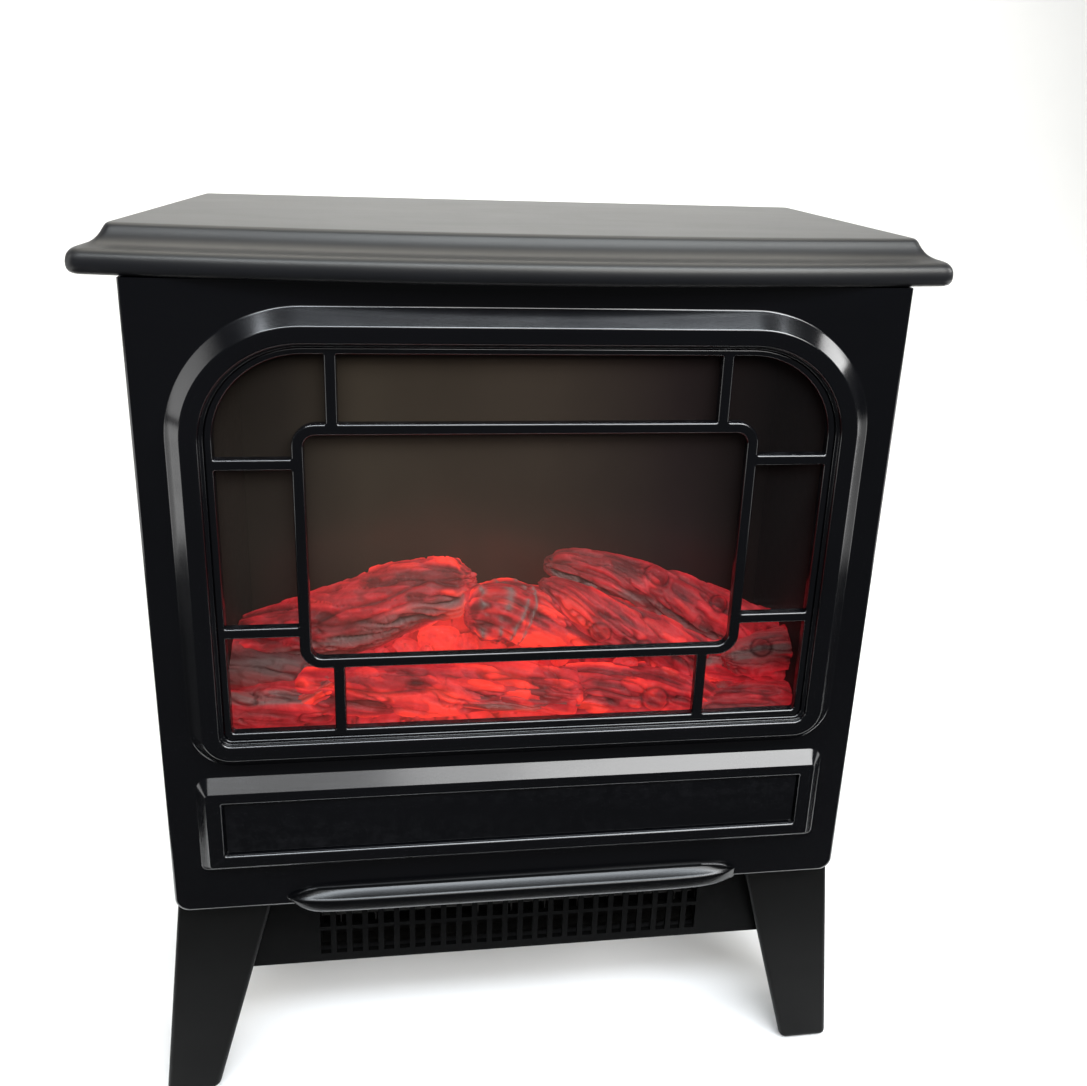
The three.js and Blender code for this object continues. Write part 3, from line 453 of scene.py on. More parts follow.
def front_panel():
    m = Builder()
    bevel = math.atan2(7, 8)
    prof = fillet([(2.9, -86.4, 0), (2.9, -88.6, 0), (0, -88.6, 0), (0, -93.5, 0.8), (1.5, -93.7, 0.35), (1.9, FRONT - 7, 1.5), (9.7, FRONT - 7, 1.5),
                   (17.7, FRONT, 1.6), (19.2, FRONT, 0)], 4)
    rings = [m.ring(with_y(arch(d), y)) for d, y in prof]
    for a, b_ in zip(rings, rings[1:]):
        m.bridge(a, b_)
    win_back, win_front = rings[0], rings[-1]

    # lower raised panel, from the recess floor outwards
    def low(t):   # t 0 recess wall, 1 face edge, 2 outer edge
        s = [(-151, 151, 176.5, 208, 0.9, 0.9), (-158.5, 158.5, 170, 214.4, 1.8, 1.2), (-164.5, 164.5, 164, 220.4, 7.5, 3.5)]
        i = min(int(t), 1)
        k = t - i
        return [s[i][j] + (s[i + 1][j] - s[i][j]) * k for j in range(6)]

    def low_ring(t, y, grow=0.0):
        x0, x1, z0, z1, rt, rb = low(t)
        return m.ring(with_y(rrect(x0 - grow, x1 + grow, z0 - grow, z1 + grow, rt + grow, rb + grow, 8, 5), y))
    lr = []
    yf = FRONT - 6
    lr.append(low_ring(0, yf + 3.5))
    lr.append(low_ring(0, yf + 1.7))
    for k in range(1, 7):
        a = k / 6 * math.pi / 2
        lr.append(low_ring(0, yf + 1.7 - 1.7 * math.sin(a), 1.7 * (1 - math.cos(a))))
    f2 = fillet([(0.3, yf, 0), (1, yf, 0.15), (2, FRONT, 0.13), (2.2, FRONT, 0)], 1)
    # face edge with a 1 mm round, then the 45 degree bevel, then the foot of the bevel
    c = 1.0 * math.tan(math.pi / 8)
    for k in range(5):
        a = k / 4 * math.pi / 4
        lr.append(low_ring(1, yf + 1.0 * (1 - math.cos(a)), -c + 1.0 * math.sin(a)))
    for k in range(5):
        a = math.pi / 4 * (1 - k / 4)
        lr.append(low_ring(2, FRONT - 1.0 * (1 - math.cos(a)), c - 1.0 * math.sin(a)))
    for a, b_ in zip(lr, lr[1:]):
        m.bridge(a, b_)
    m.fill(lr[0], [], flip=False)
    low_out = lr[-1]

    # outer edge of the cabinet front
    def body(d):
        return rrect(-180 - d, 180 + d, 137 - d, 473.98, 0.3, 8 + d, 2, 10, 1)
    br = []
    for k in range(6):
        a = k / 5 * math.pi / 2
        br.append(m.ring(with_y(body(-2.4 * (1 - math.sin(a))), FRONT + 2.4 * (1 - math.cos(a)))))
    br.append(m.ring(with_y(body(0), -74.0)))
    br.append(m.ring(with_y(body(-2.4), -74.0)))
    br.append(m.ring(with_y(body(-2.4), -86.4)))
    for a, b_ in zip(br, br[1:]):
        m.bridge(a, b_)
    m.fill(br[0], [win_front, low_out])
    m.fill(br[-1], [win_back], flip=True)
    o = m.obj("front_panel_skin", GLOSS, 40)
    return o


def visor():
    """Boat-shaped lip over the outlet: groove line, sloping top, soft front edge, pointed left and rounded right end."""
    m = Builder()
    n = 96
    rings = []
    for i in range(n + 1):
        u = -1 + 2 * i / n
        # denser near the ends
        s = math.copysign(1 - (1 - abs(u)) ** 1.6, u)
        x = 122.5 * s
        e = 122.5 - abs(x)
        pinch = 1 - math.exp(-e / 5.5) if x > 0 else math.sin(min(1.0, e / 17.0) * math.pi / 2) ** 0.9
        pinch = max(pinch, 0.002)
        depth = 7.0 * (1 - math.exp(-e / (9.0 if x > 0 else 8.0))) / (1 - math.exp(-122.5 / 9.0))
        depth = max(depth, 0.02)
        zt = 143.2 + 5.3 * pinch
        zr = 143.2 + 1.8 * pinch
        y0 = FRONT
        prof = [(y0 + 1.4, zt + 0.0), (y0 - 0.3, zt), (y0 - 0.9 * min(1, depth), zt - 0.15),
                (y0 - 1.3 * min(1, depth), zt - 1.0 * pinch), (y0 - 1.9 * min(1, depth), zt - 0.85 * pinch)]
        # top slope to the front edge with a round of about 1.4
        yf = y0 - depth
        prof += [(y0 - depth * 0.45, zt - (zt - zr) * 0.42 - 0.35 * pinch), (yf + 1.6 * min(1, depth / 3), zr + 0.45 * pinch),
                 (yf + 0.7 * min(1, depth / 3), zr + 0.02), (yf + 0.15 * min(1, depth / 3), zr - 0.8 * pinch), (yf, zr - 1.9 * pinch)]
        zb = 137.1 + (0 if x > 0 else 5.2 * (1 - pinch))
        prof += [(yf + 0.25, zb + 2.2), (yf + 0.9 * min(1, depth / 3), zb + 0.5), (min(yf + 1.8, y0 + 0.6), zb), (y0 + 1.4, zb)]
        rings.append(m.ring([(x, y, z) for y, z in prof]))
    for a, b_ in zip(rings, rings[1:]):
        m.bridge(a, b_)
    m.face(rings[0])
    m.face(list(reversed(rings[-1])))
    return m.obj("visor_lip", VISOR, 50)


# ------------------------------------------------------------------ lattice
def lattice():
    m = Builder()
    y0, y1 = -93.0, -88.9
    h, R, X, Z0, Z1 = 2.75, 11.0, 109.7, 283.0, 409.0
    XI, ZB, ZT = 144.0, 248.2, 441.5

    def arc(cx, cz, r, a0, a1, k):
        return [(cx + r * math.cos(a0 + (a1 - a0) * i / k), cz + r * math.sin(a0 + (a1 - a0) * i / k)) for i in range(k + 1)]
    P = math.pi
    panes = [rrect(-X + 5.5, X - 5.5, Z0 + 5.5, Z1 - 5.5, 5.5, 5.5, 6, 6)]
    bx, zl, zh = 91.2, 303.4, 389.5
    small = 0.7

    def rounded(pts):
        """small rounds at sharp corners of a pane"""
        n = len(pts)
        out = []
        for i in range(n):
            p0, p, p2 = (np.array(pts[(i + k) % n], float) for k in (-1, 0, 1))
            a, b_ = p0 - p, p2 - p
            la, lb = np.linalg.norm(a), np.linalg.norm(b_)
            ang = math.degrees(math.acos(max(-1, min(1, float(a @ b_ / la / lb)))))
            if ang < 120 and la > 3 and lb > 3:
                a, b_ = a / la, b_ / lb
                for k in range(4):
                    t = k / 3
                    q = p + a * small * (1 - t) ** 2 + b_ * small * t ** 2
                    out.append(tuple(q))
            else:
                out.append(tuple(p))
        return out
    panes.append(rounded([(-bx + h, Z1), (bx - h, Z1), (bx - h, ZT), (-bx + h, ZT)]))
    panes.append(rounded([(-bx + h, ZB), (bx - h, ZB), (bx - h, Z0), (-bx + h, Z0)]))
    for s in (-1, 1):
        side = [(s * X, zl + h), (s * XI, zl + h), (s * XI, zh - h), (s * X, zh - h)]
        top = ([(s * (bx + h), ZT)] + [(s * x, z) for x, z in reversed(arc(XI - 41.2, ZT - 41.2, 41.2, 0, P / 2, 22))]
               + [(s * XI, zh + h), (s * X, zh + h)] + [(s * x, z) for x, z in arc(X - R, Z1 - R, R, 0, P / 2, 8)]
               + [(s * (bx + h), Z1)])
        bot = ([(s * (bx + h), Z0)] + [(s * x, z) for x, z in arc(X - R, Z0 + R, R, -P / 2, 0, 8)]
               + [(s * X, zl - h), (s * XI, zl - h)] + [(s * x, z) for x, z in reversed(arc(XI - 1.6, ZB + 1.6, 1.6, -P / 2, 0, 5))]
               + [(s * (bx + h), ZB)])
        panes += [rounded(side), rounded(top), rounded(bot)]
    loops_front, loops_back = [], []
    for pts in panes:
        area = sum(pts[i][0] * pts[(i + 1) % len(pts)][1] - pts[(i + 1) % len(pts)][0] * pts[i][1] for i in range(len(pts)))
        if area < 0:
            pts = list(reversed(pts))
        r = 1.35
        rings = [m.ring(with_y(pts, y1)), m.ring(with_y(pts, y0 + r))]
        for k in range(1, 6):
            a = k / 5 * P / 2
            rings.append(m.ring(with_y(offset_loop(pts, r * (1 - math.cos(a))), y0 + r - r * math.sin(a))))
        for a, b_ in zip(rings, rings[1:]):
            m.bridge(a, b_)
        loops_back.append(rings[0])
        loops_front.append(rings[-1])
    outer = [arch(d) for d in (-0.3, -0.3, -0.6, -0.95)]
    oy = (y1, y0 + 0.5, y0 + 0.14, y0)
    orr = [m.ring(with_y(p, y)) for p, y in zip(outer, oy)]
    for a, b_ in zip(orr, orr[1:]):
        m.bridge(a, b_)
    m.fill(orr[-1], loops_front)
    m.fill(orr[0], loops_back, flip=True)
    return m.obj("lattice_bars", GLOSS, 40)


def glass():
    m = Builder()
    prof = [(0.0, -85.3), (0.0, -85.6), (0.0, -88.0), (-0.3, -88.3)]
    rings = []
    for d, y in [(-0.4, -85.3), (0, -85.7), (0, -87.9), (-0.4, -88.3)]:
        rings.append(m.ring(with_y(rrect(-149.9 - d, 149.9 + d, 242.1 - d, 447.5 + d, 47.2 + d, 3.5 + d, 20, 5), y)))
    for a, b_ in zip(rings, rings[1:]):
        m.bridge(a, b_)
    m.fill(rings[0], [])
    m.fill(rings[-1], [], flip=True)
    return m.obj("glass_pane", GLASS, 40)


def insert_plate():
    m = Builder()
    y = -92.75
    rings = []
    for d, yy in [(0, -91.85), (0, y + 0.25), (-0.08, y + 0.08), (-0.3, y)]:
        rings.append(m.ring(with_y(rrect(-150.15 - d, 150.15 + d, 177.35 - d, 207.15 + d, 1.2 + d, 1.2 + d, 5, 5), yy)))
    for a, b_ in zip(rings, rings[1:]):
        m.bridge(a, b_)
    m.fill(rings[0], [])
    m.fill(rings[-1], [], flip=True)
    return m.obj("insert_plate", GLOSS, 40)


# ------------------------------------------------------------------ mantel
def mantel():
    m = Builder()
    N = 48
    prof = fillet([(0.74, 474.05, 0), (1.0, 474.05, 0.0), (1.0, 474.05, 0)], 1)
    # (t, z): 0 at the upper face edge, 1 at the nose; heights in mm
    P = [(0.70, 474.05), (0.80, 474.05), (0.88, 474.35), (0.945, 475.1), (0.985, 476.4), (1.0, 478.0), (0.998, 479.6),
         (0.985, 481.2), (0.955, 482.7), (0.905, 483.9), (0.845, 484.75), (0.785, 485.2), (0.72, 485.45), (0.64, 485.75),
         (0.55, 486.2), (0.46, 486.85), (0.37, 487.8), (0.29, 489.05), (0.22, 490.6), (0.165, 492.1), (0.125, 493.3),
         (0.085, 494.2), (0.035, 494.75), (-0.03, 494.97), (-0.12, 495.0)]

    def ring(t, z):
        half = 189 + 14.0 * t
        front = -68 - 18.5 * t
        bow = 13.4 + 0.6 * t
        r = max(3.0, 4.5 + 3.5 * t)
        pts = []
        for i in range(9):
            a = math.pi + i / 8 * math.pi / 2
            pts.append((-half + r + r * math.cos(a), front + r + r * math.sin(a)))
        for i in range(1, N):
            x = -half + r + i / N * 2 * (half - r)
            u = x / (half - r)
            pts.append((x, front - bow * (1 - u * u)))
        for i in range(9):
            a = -math.pi / 2 + i / 8 * math.pi / 2
            pts.append((half - r + r * math.cos(a), front + r + r * math.sin(a)))
        for i in range(1, 8):
            pts.append((half, front + r + (100.2 - front - r) * i / 8))
        pts += [(half, 100.2), (half - 0.25, 100.75), (half - 0.8, 101.0)]
        for i in range(1, 12):
            pts.append((half - 0.8 - i / 12 * 2 * (half - 0.8), 101.0))
        pts += [(-half + 0.8, 101.0), (-half + 0.25, 100.75), (-half, 100.2)]
        for i in range(7, 0, -1):
            pts.append((-half, front + r + (100.2 - front - r) * i / 8))
        return m.ring([(x, y, z) for x, y in pts])
    rings = [ring(t, z) for t, z in P]
    # underside: 3 mm wall, then up into the hollow
    inner = []
    for grow, z in ((0.45, 474.05), (0.42, 476.0), (0.3, 484.0), (0.0, 491.6)):
        half = 189 + 13.2 * grow - 8
        front = -68 - 19 * grow + 8
        pts = []
        count = len(rings[0])
        src = [m.v[i] for i in rings[0]]
        h0, f0 = 189 + 14.0 * 0.70, -68 - 18.5 * 0.70
        for (x, y, _) in src:
            sx = half / h0
            yy = 97 + (y - 101) * (97 - front) / (101 - f0)
            pts.append((x * sx, yy, z))
        inner.append(m.ring(pts))
    m.bridge(inner[0], rings[0])
    for a, b_ in zip(inner, inner[1:]):
        m.bridge(b_, a)
    m.fill(inner[-1], [], axes=(0, 1), flip=True)
    for a, b_ in zip(rings, rings[1:]):
        m.bridge(a, b_)
    m.fill(rings[-1], [], axes=(0, 1))
    return m.obj("mantel_shelf", MANTEL, 50)


MANTEL = plastic("mat_mantel", (0.006, 0.0062, 0.0075), (0.009, 0.0093, 0.011), 0.38, grain=0.000008, ior_level=0.45, wave=0.00004, vary=(0.96, 1.05))
# painted reflection: a warm tint on the mantel's reflections, standing in for the warm-lit wall they mirror
MANTEL.node_tree.nodes["Principled BSDF"].inputs["Specular Tint"].default_value = (1.0, 0.985, 0.93, 1)


# ------------------------------------------------------------------ legs
def leg(name, sx, sy):
    """Tapered corner moulding, open to the inside, closed at the foot. sx, sy: -1 or 1 (sy -1 is the front)."""
    def block(levels, k=5, nm="tmp"):
        m = Builder()
        rings = []
        for z, xi, xo, yf, yb, r in levels:
            pts = []
            x0, x1, ya, yb_ = xi, xo, yf, yb
            for cx, cy, a0 in ((x1 - r, ya + r, -90), (x1 - r, yb_ - r, 0), (x0 + r, yb_ - r, 90), (x0 + r, ya + r, 180)):
                for i in range(k + 1):
                    a = math.radians(a0 + i / k * 90)
                    pts.append((cx + r * math.cos(a), cy + r * math.sin(a)))
            rings.append(m.ring([(sx * x, -sy * y, z) for x, y in pts]))
        for a, b_ in zip(rings, rings[1:]):
            m.bridge(a, b_)
        m.fill(rings[0], [], axes=(0, 1))
        m.fill(rings[-1], [], axes=(0, 1), flip=True)
        return m.obj(nm, None, 60)
    lv = []
    for z, inset, r in ((1.0, 3.2, 2.0), (1.35, 1.9, 2.6), (2.2, 0.85, 3.0), (3.4, 0.2, 3.2), (5.0, 0.0, 3.2)):
        k = (z - 1) / 135.7
        lv.append((z, 168 - 37 * k + inset, 197 - 16 * k - inset, -81 + inset, -49 + 18 * k - inset, r))
    for z in (30, 60, 90, 120, 136.7):
        k = (z - 1) / 135.7
        lv.append((z, 168 - 37 * k, 197 - 16 * k, -81, -49 + 18 * k, 3.2 - 1.2 * k))
    o = block(lv, 5, name)
    inner = [(3.8, 152, 193.4, -78.0, -35, 1.2), (133.7, 120, 177.2, -78.0, -18, 1.2)]
    o = boolean(o, block(inner, 2, "cut"), "DIFFERENCE")
    nb = Builder()
    x0, x1 = sorted((0.0, sx * 150.6))
    ya, yb = (-69.4, 0) if sy < 0 else (0, 34.6)
    cut = bmesh.new()
    bmesh.ops.create_cube(cut, size=1.0)
    for v in cut.verts:
        v.co = Vector(((x0 + x1) / 2 + v.co.x * (x1 - x0), (ya + yb) / 2 + v.co.y * (yb - ya), 105 + v.co.z * 90)) * MM
    o = boolean(o, from_bm(cut, "cut2", None), "DIFFERENCE")
    m = Builder()
    plan = [(150, -77.9), (169.7, -77.9), (187.5, -44), (150, -44)]
    lo_r = m.ring([(sx * x, -sy * y, -1) for x, y in plan])
    hi_r = m.ring([(sx * x, -sy * y, 12) for x, y in plan])
    m.bridge(lo_r, hi_r)
    m.face(lo_r)
    m.face(hi_r)
    o = boolean(o, m.obj("cut3", None, 60), "DIFFERENCE")
    px, py = sx * 186, sy * 70
    cut = bmesh.new()
    bmesh.ops.create_cube(cut, size=1.0)
    for v in cut.verts:
        v.co = Vector((px + v.co.x * 13.6, py + v.co.y * 13.6, 1.4 + v.co.z * 5.8)) * MM
    o = boolean(o, from_bm(cut, "cut4", None), "DIFFERENCE")
    me = o.data
    me.materials.clear()
    me.materials.append(LEGP)
    bv = o.modifiers.new("bevel", "BEVEL")
    bv.width = 0.0006
    bv.segments = 2
    bv.limit_method = "ANGLE"
    bv.angle_limit = math.radians(50)
    bv.harden_normals = False
    finish_shading(o, 40)
    return o


pieces = []
panel = front_panel(); pieces.append((panel, "front_panel", "black_moulding"))
lip = visor(); pieces.append((lip, "front_panel", "black_moulding"))
bars = lattice(); pieces.append((bars, "window_lattice", "black_moulding"))
pane = glass(); pieces.append((pane, "window_glass", "smoked_glass"))
plate = insert_plate(); pieces.append((plate, "lower_insert_plate", "black_moulding"))
shelf = mantel(); pieces.append((shelf, "top_cover", "black_moulding"))
for tag, sx, sy in (("front_left", -1, -1), ("front_right", 1, -1), ("rear_left", -1, 1), ("rear_right", 1, 1)):
    pieces.append((leg("leg_moulding_" + tag, sx, sy), "leg_" + tag, "black_moulding"))
for o, n, s in pieces:
    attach(o, "cabinet")
    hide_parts(n)

# ------------------------------------------------------------------ logs and embers
def hash3(ix, iy, iz, seed):
    h = (ix.astype(np.int64) * 374761393 + iy.astype(np.int64) * 668265263 + iz.astype(np.int64) * 2147483647 + seed * 1274126177) & 0xFFFFFFFF
    h = ((h ^ (h >> 13)) * 1103515245) & 0xFFFFFFFF
    h = ((h ^ (h >> 16)) * 2246822519) & 0xFFFFFFFF
    return ((h ^ (h >> 15)) & 0xFFFFFF) / float(0xFFFFFF)


def vnoise(p, seed):
    i = np.floor(p).astype(np.int64)
    f = p - i
    f = f * f * f * (f * (f * 6 - 15) + 10)
    out = 0
    for dx in (0, 1):
        wx = f[..., 0] if dx else 1 - f[..., 0]
        for dy in (0, 1):
            wy = f[..., 1] if dy else 1 - f[..., 1]
            for dz in (0, 1):
                wz = f[..., 2] if dz else 1 - f[..., 2]
                out = out + wx * wy * wz * hash3(i[..., 0] + dx, i[..., 1] + dy, i[..., 2] + dz, seed)
    return out


def fbm(p, seed, octaves=4, gain=0.5):
    a, s, t = 1.0, 0.0, 0.0
    for k in range(octaves):
        s = s + a * vnoise(p * 2 ** k + 17.3 * k, seed + k)
        t += a
        a *= gain
    return s / t


def sstep(a, b, x):
    t = np.clip((x - a) / (b - a), 0, 1)
    return t * t * (3 - 2 * t)


VIEW = np.array([-0.10, -0.86, 0.50])
VIEW = VIEW / np.linalg.norm(VIEW)
LX, LY0, LY1, LZ0 = 150.9, -80.6, -8.4, 226.3


def add_tone(me, tone):
    at = me.attributes.new("tone", "FLOAT_COLOR", "POINT")
    at.data.foreach_set("color", np.concatenate([tone, np.ones((len(tone), 1))], 1).astype(np.float32).ravel())


def make_log(name, path, seed, glow, char=(0.5, 0.0, 0.6), knots=(), groove=(), ends=(3.0, 3.0), rough_end=(1.0, 1.0),
             squash=1.0, step=0.8, strength=1.0, arcs=(), contrast=1.0):
    """path: (x, y, z, r); glow: brightness at each path point; char: (amount, angle centre, angle width) of dark paint."""
    path = np.array(path, float)
    seg = np.linalg.norm(np.diff(path[:, :3], axis=0), axis=1)
    s0 = np.concatenate([[0], np.cumsum(seg)])
    L = s0[-1]
    n = max(24, int(L / step))
    s = np.linspace(0, L, n)
    c = np.stack([np.interp(s, s0, path[:, k]) for k in range(4)], 1)
    k = np.exp(-np.linspace(-2, 2, 25) ** 2)
    k /= k.sum()
    pad = np.concatenate([c[:1] * 2 - c[1:13][::-1], c, c[-1:] * 2 - c[-13:-1][::-1]])
    c = np.stack([np.convolve(pad[:, j], k, "valid") for j in range(4)], 1)
    g = np.interp(s, s0, glow)
    wob = np.stack([fbm(np.stack([s / 38 + 9 * j, s * 0, s * 0], 1), seed + 40 + j, 2) - 0.5 for j in range(3)], 1)
    c[:, :3] += wob * 3.2
    T = np.gradient(c[:, :3], axis=0)
    T /= np.linalg.norm(T, axis=1)[:, None]
    V = VIEW - (T @ VIEW)[:, None] * T
    V /= np.linalg.norm(V, axis=1)[:, None]
    S = np.cross(V, T)
    K = 132
    th = np.linspace(-math.pi, math.pi, K, endpoint=False)
    TH, SS = np.meshgrid(th, s)
    R = c[:, 3][:, None] * np.ones((1, K))
    rr = c[:, 3].mean()
    cx, cy = np.cos(TH) * rr, np.sin(TH) * rr
    twist = SS / 60.0
    gx, gy = np.cos(TH + twist) * rr, np.sin(TH + twist) * rr
    low = fbm(np.stack([SS / 34, gx / 15, gy / 15], -1), seed, 3)
    grain = fbm(np.stack([SS / 26, gx / 3.1, gy / 3.1], -1), seed + 7, 3)
    warp = (fbm(np.stack([SS / 16, gx / 9, gy / 9], -1), seed + 17, 2) - 0.5) * 1.5
    ridge = 1 - np.abs(2 * fbm(np.stack([SS / 42 + low * 0.6, gx / 6.2 + warp, gy / 6.2], -1), seed + 13, 2) - 1)
    crack = sstep(0.88, 0.975, ridge)
    cross_n = 1 - np.abs(2 * fbm(np.stack([SS / 7.5, gx / 9, gy / 9], -1), seed + 23, 2) - 1)
    cross = 0.7 * sstep(0.95, 0.99, cross_n) * sstep(0.55, 0.68, vnoise(np.stack([SS / 12, gx / 8, gy / 8], -1), seed + 29))
    disp = 4.2 * (low - 0.5) + 1.7 * (grain - 0.5) - 1.5 * crack - 0.8 * cross
    dark = np.clip(0.62 * crack + 0.5 * cross, 0, 1)
    # bark plates: stepped levels along the grain
    plate_n = fbm(np.stack([SS / 19, gx / 6.5, gy / 6.5], -1), seed + 31, 2)
    steps = np.floor(plate_n * 5) + sstep(0.35, 0.65, (plate_n * 5) % 1)
    disp += 0.9 * (steps - 2.5)
    # painted light and shade: a relief value from bark plates and grain, used to brighten raised parts and dim low
    # parts of the glow
    relief_shade = (steps - 2.5) * 0.35 + (grain - 0.5) * 1.1 + (low - 0.5) * 0.8
    edge = 1 - np.abs(((plate_n * 5) % 1) - 0.5) * 2
    dark = np.maximum(dark, 0.16 * sstep(0.75, 1.0, edge))
    for (ks, kt, kr, kh) in knots:
        dt = (TH - kt + math.pi) % (2 * math.pi) - math.pi
        q = np.hypot(SS - ks * L, dt * R)
        disp += kh * np.exp(-(q / kr) ** 4) - 0.9 * np.exp(-((q - kr * 1.25) / 1.3) ** 2) + 0.25 * np.sin(q * 3.2) * (q < kr)
        dark = np.maximum(dark, 0.9 * np.exp(-((q - kr * 1.2) / 1.1) ** 2))
        dark = np.maximum(dark, 0.55 * sstep(kr, kr * 0.6, q))
    for (s_a, t_a, s_b, t_b, w, dep) in groove:
        u = np.clip((SS / L - s_a) / (s_b - s_a), 0, 1)
        tc = t_a + (t_b - t_a) * u + 0.12 * np.sin(SS / 9)
        dt = (TH - tc + math.pi) % (2 * math.pi) - math.pi
        on = sstep(s_a - 0.02, s_a + 0.05, SS / L) * sstep(s_b + 0.02, s_b - 0.05, SS / L)
        gq = np.exp(-(dt * R / w) ** 2) * on
        disp -= dep * gq
        dark = np.maximum(dark, 0.85 * np.exp(-(dt * R / (w * 0.6)) ** 2) * on)
    ef = np.ones_like(SS)
    for side, el in enumerate(ends):
        d = SS if side == 0 else L - SS
        q = np.clip(d / el, 0, 1)
        ef *= 0.72 + 0.28 * np.sqrt(np.clip(1 - (1 - q) ** 2, 0.0, 1))
    rad = np.maximum((R + disp) * ef, 0.05)
    ash_b = sstep(0.52, 0.66, fbm(np.stack([SS / 22, gx / 7, gy / 7], -1), seed + 61, 3))
    ch = char[0] * sstep(0.42, 0.6, fbm(np.stack([SS / 26, gx / 8, gy / 8], -1), seed + 71, 3))
    if char[2] > 0:
        dt = (TH - char[1] + math.pi) % (2 * math.pi) - math.pi
        ch = np.maximum(ch, sstep(char[2], char[2] * 0.55, np.abs(dt + 0.35 * (low - 0.5) * 2)) * 0.9)
    for (s_f, amp, wdt) in arcs:
        q = (SS - s_f * L - amp * np.sin(TH * 1.4 + 0.6) - 2.0 * (low - 0.5)) / wdt
        band = np.exp(-q ** 2) * sstep(0.3, 0.5, vnoise(np.stack([SS / 4, gx / 3, gy / 3], -1), seed + 91))
        rad = rad + 0.8 * band
        ch = np.maximum(ch, band)
        ash_b = np.maximum(ash_b, band)
        dark = dark * (1 - band)
    pos = c[:, None, :3] + V[:, None, :] * (np.cos(TH) * rad)[..., None] + S[:, None, :] * (np.sin(TH) * rad * squash)[..., None]
    # painted light and shade: the glow stored in tone is scaled up on raised plates and grain and down on low parts
    tone = np.stack([g[:, None] * strength * np.clip(0.78 + 1.15 * contrast * relief_shade, 0.22, 1.5) * np.ones((1, K)), dark, np.maximum(ch * 0.72, ch * ash_b)], -1)
    verts = pos.reshape(-1, 3)
    tones = tone.reshape(-1, 3)
    # end discs
    faces = []
    idx = np.arange(n * K).reshape(n, K)
    a, b_ = idx[:-1], idx[1:]
    an, bn = np.roll(a, -1, 1), np.roll(b_, -1, 1)
    faces = np.stack([b_, bn, an, a], -1).reshape(-1, 4).tolist()
    extra_v, extra_t = [], []
    base = len(verts)
    M = 13
    for side in (0, 1):
        k_ = 0 if side == 0 else -1
        row = list(idx[k_])
        edge_p, ctr = pos[k_], pos[k_].mean(0)
        out = -T[0] if side == 0 else T[-1]
        el, ro = ends[side], rough_end[side]
        g_e = tone[k_][:, 0].mean()
        for m_ in range(1, M + 1):
            f = 1 - m_ / M
            p = ctr + (edge_p - ctr) * f
            e_n = fbm(p / 2.4, seed + 81, 3)
            spl = 1 - np.abs(2 * fbm(p / np.array([3.0, 1.6, 1.6]), seed + 85, 2) - 1)
            rel = el * 0.42 * math.sqrt(max(0.0, 1 - f * f)) + ro * 3.4 * (e_n - 0.5) * (1 - f ** 4) + ro * 1.6 * spl * (1 - f ** 3)
            p = p + out * rel[:, None]
            dist = np.linalg.norm(edge_p - ctr, axis=1) * f
            rg = 0.5 + 0.5 * np.sin(dist * 2.2 + 3 * e_n)
            dk = np.clip((0.5 * rg * sstep(0.35, 0.6, e_n) + 0.7 * sstep(0.9, 0.98, spl)) * min(1, 0.2 + 0.8 * ro), 0, 1)
            cc = np.clip(char[0] * sstep(0.35, 0.6, e_n) * 1.2, 0, 1)
            new = list(range(base + len(extra_v), base + len(extra_v) + (K if m_ < M else 1)))
            if m_ < M:
                extra_v += list(p)
                extra_t += list(np.stack([g_e * (0.7 + 0.9 * (e_n - 0.3)), dk, cc], -1))
                for j in range(K):
                    jn = (j + 1) % K
                    faces.append([row[j], row[jn], new[jn], new[j]] if side == 0 else [new[j], new[jn], row[jn], row[j]])
                row = new
            else:
                extra_v.append(p.mean(0))
                extra_t.append(np.array([g_e, 0.3, 0.2]))
                for j in range(K):
                    jn = (j + 1) % K
                    faces.append([row[j], row[jn], new[0]] if side == 0 else [row[jn], row[j], new[0]])
    verts = np.concatenate([verts, np.array(extra_v)])
    tones = np.concatenate([tones, np.array(extra_t)])
    verts[:, 0] = np.clip(verts[:, 0], -LX, LX)
    verts[:, 1] = np.clip(verts[:, 1], LY0, LY1)
    verts[:, 2] = np.maximum(verts[:, 2], LZ0)
    me = bpy.data.meshes.new(name)
    me.from_pydata((verts * MM).tolist(), [], faces)
    add_tone(me, tones)
    o = bpy.data.objects.new(name, me)
    scene.collection.objects.link(o)
    me.polygons.foreach_set("use_smooth", [True] * len(me.polygons))
    me.materials.append(LOGM)
    return o


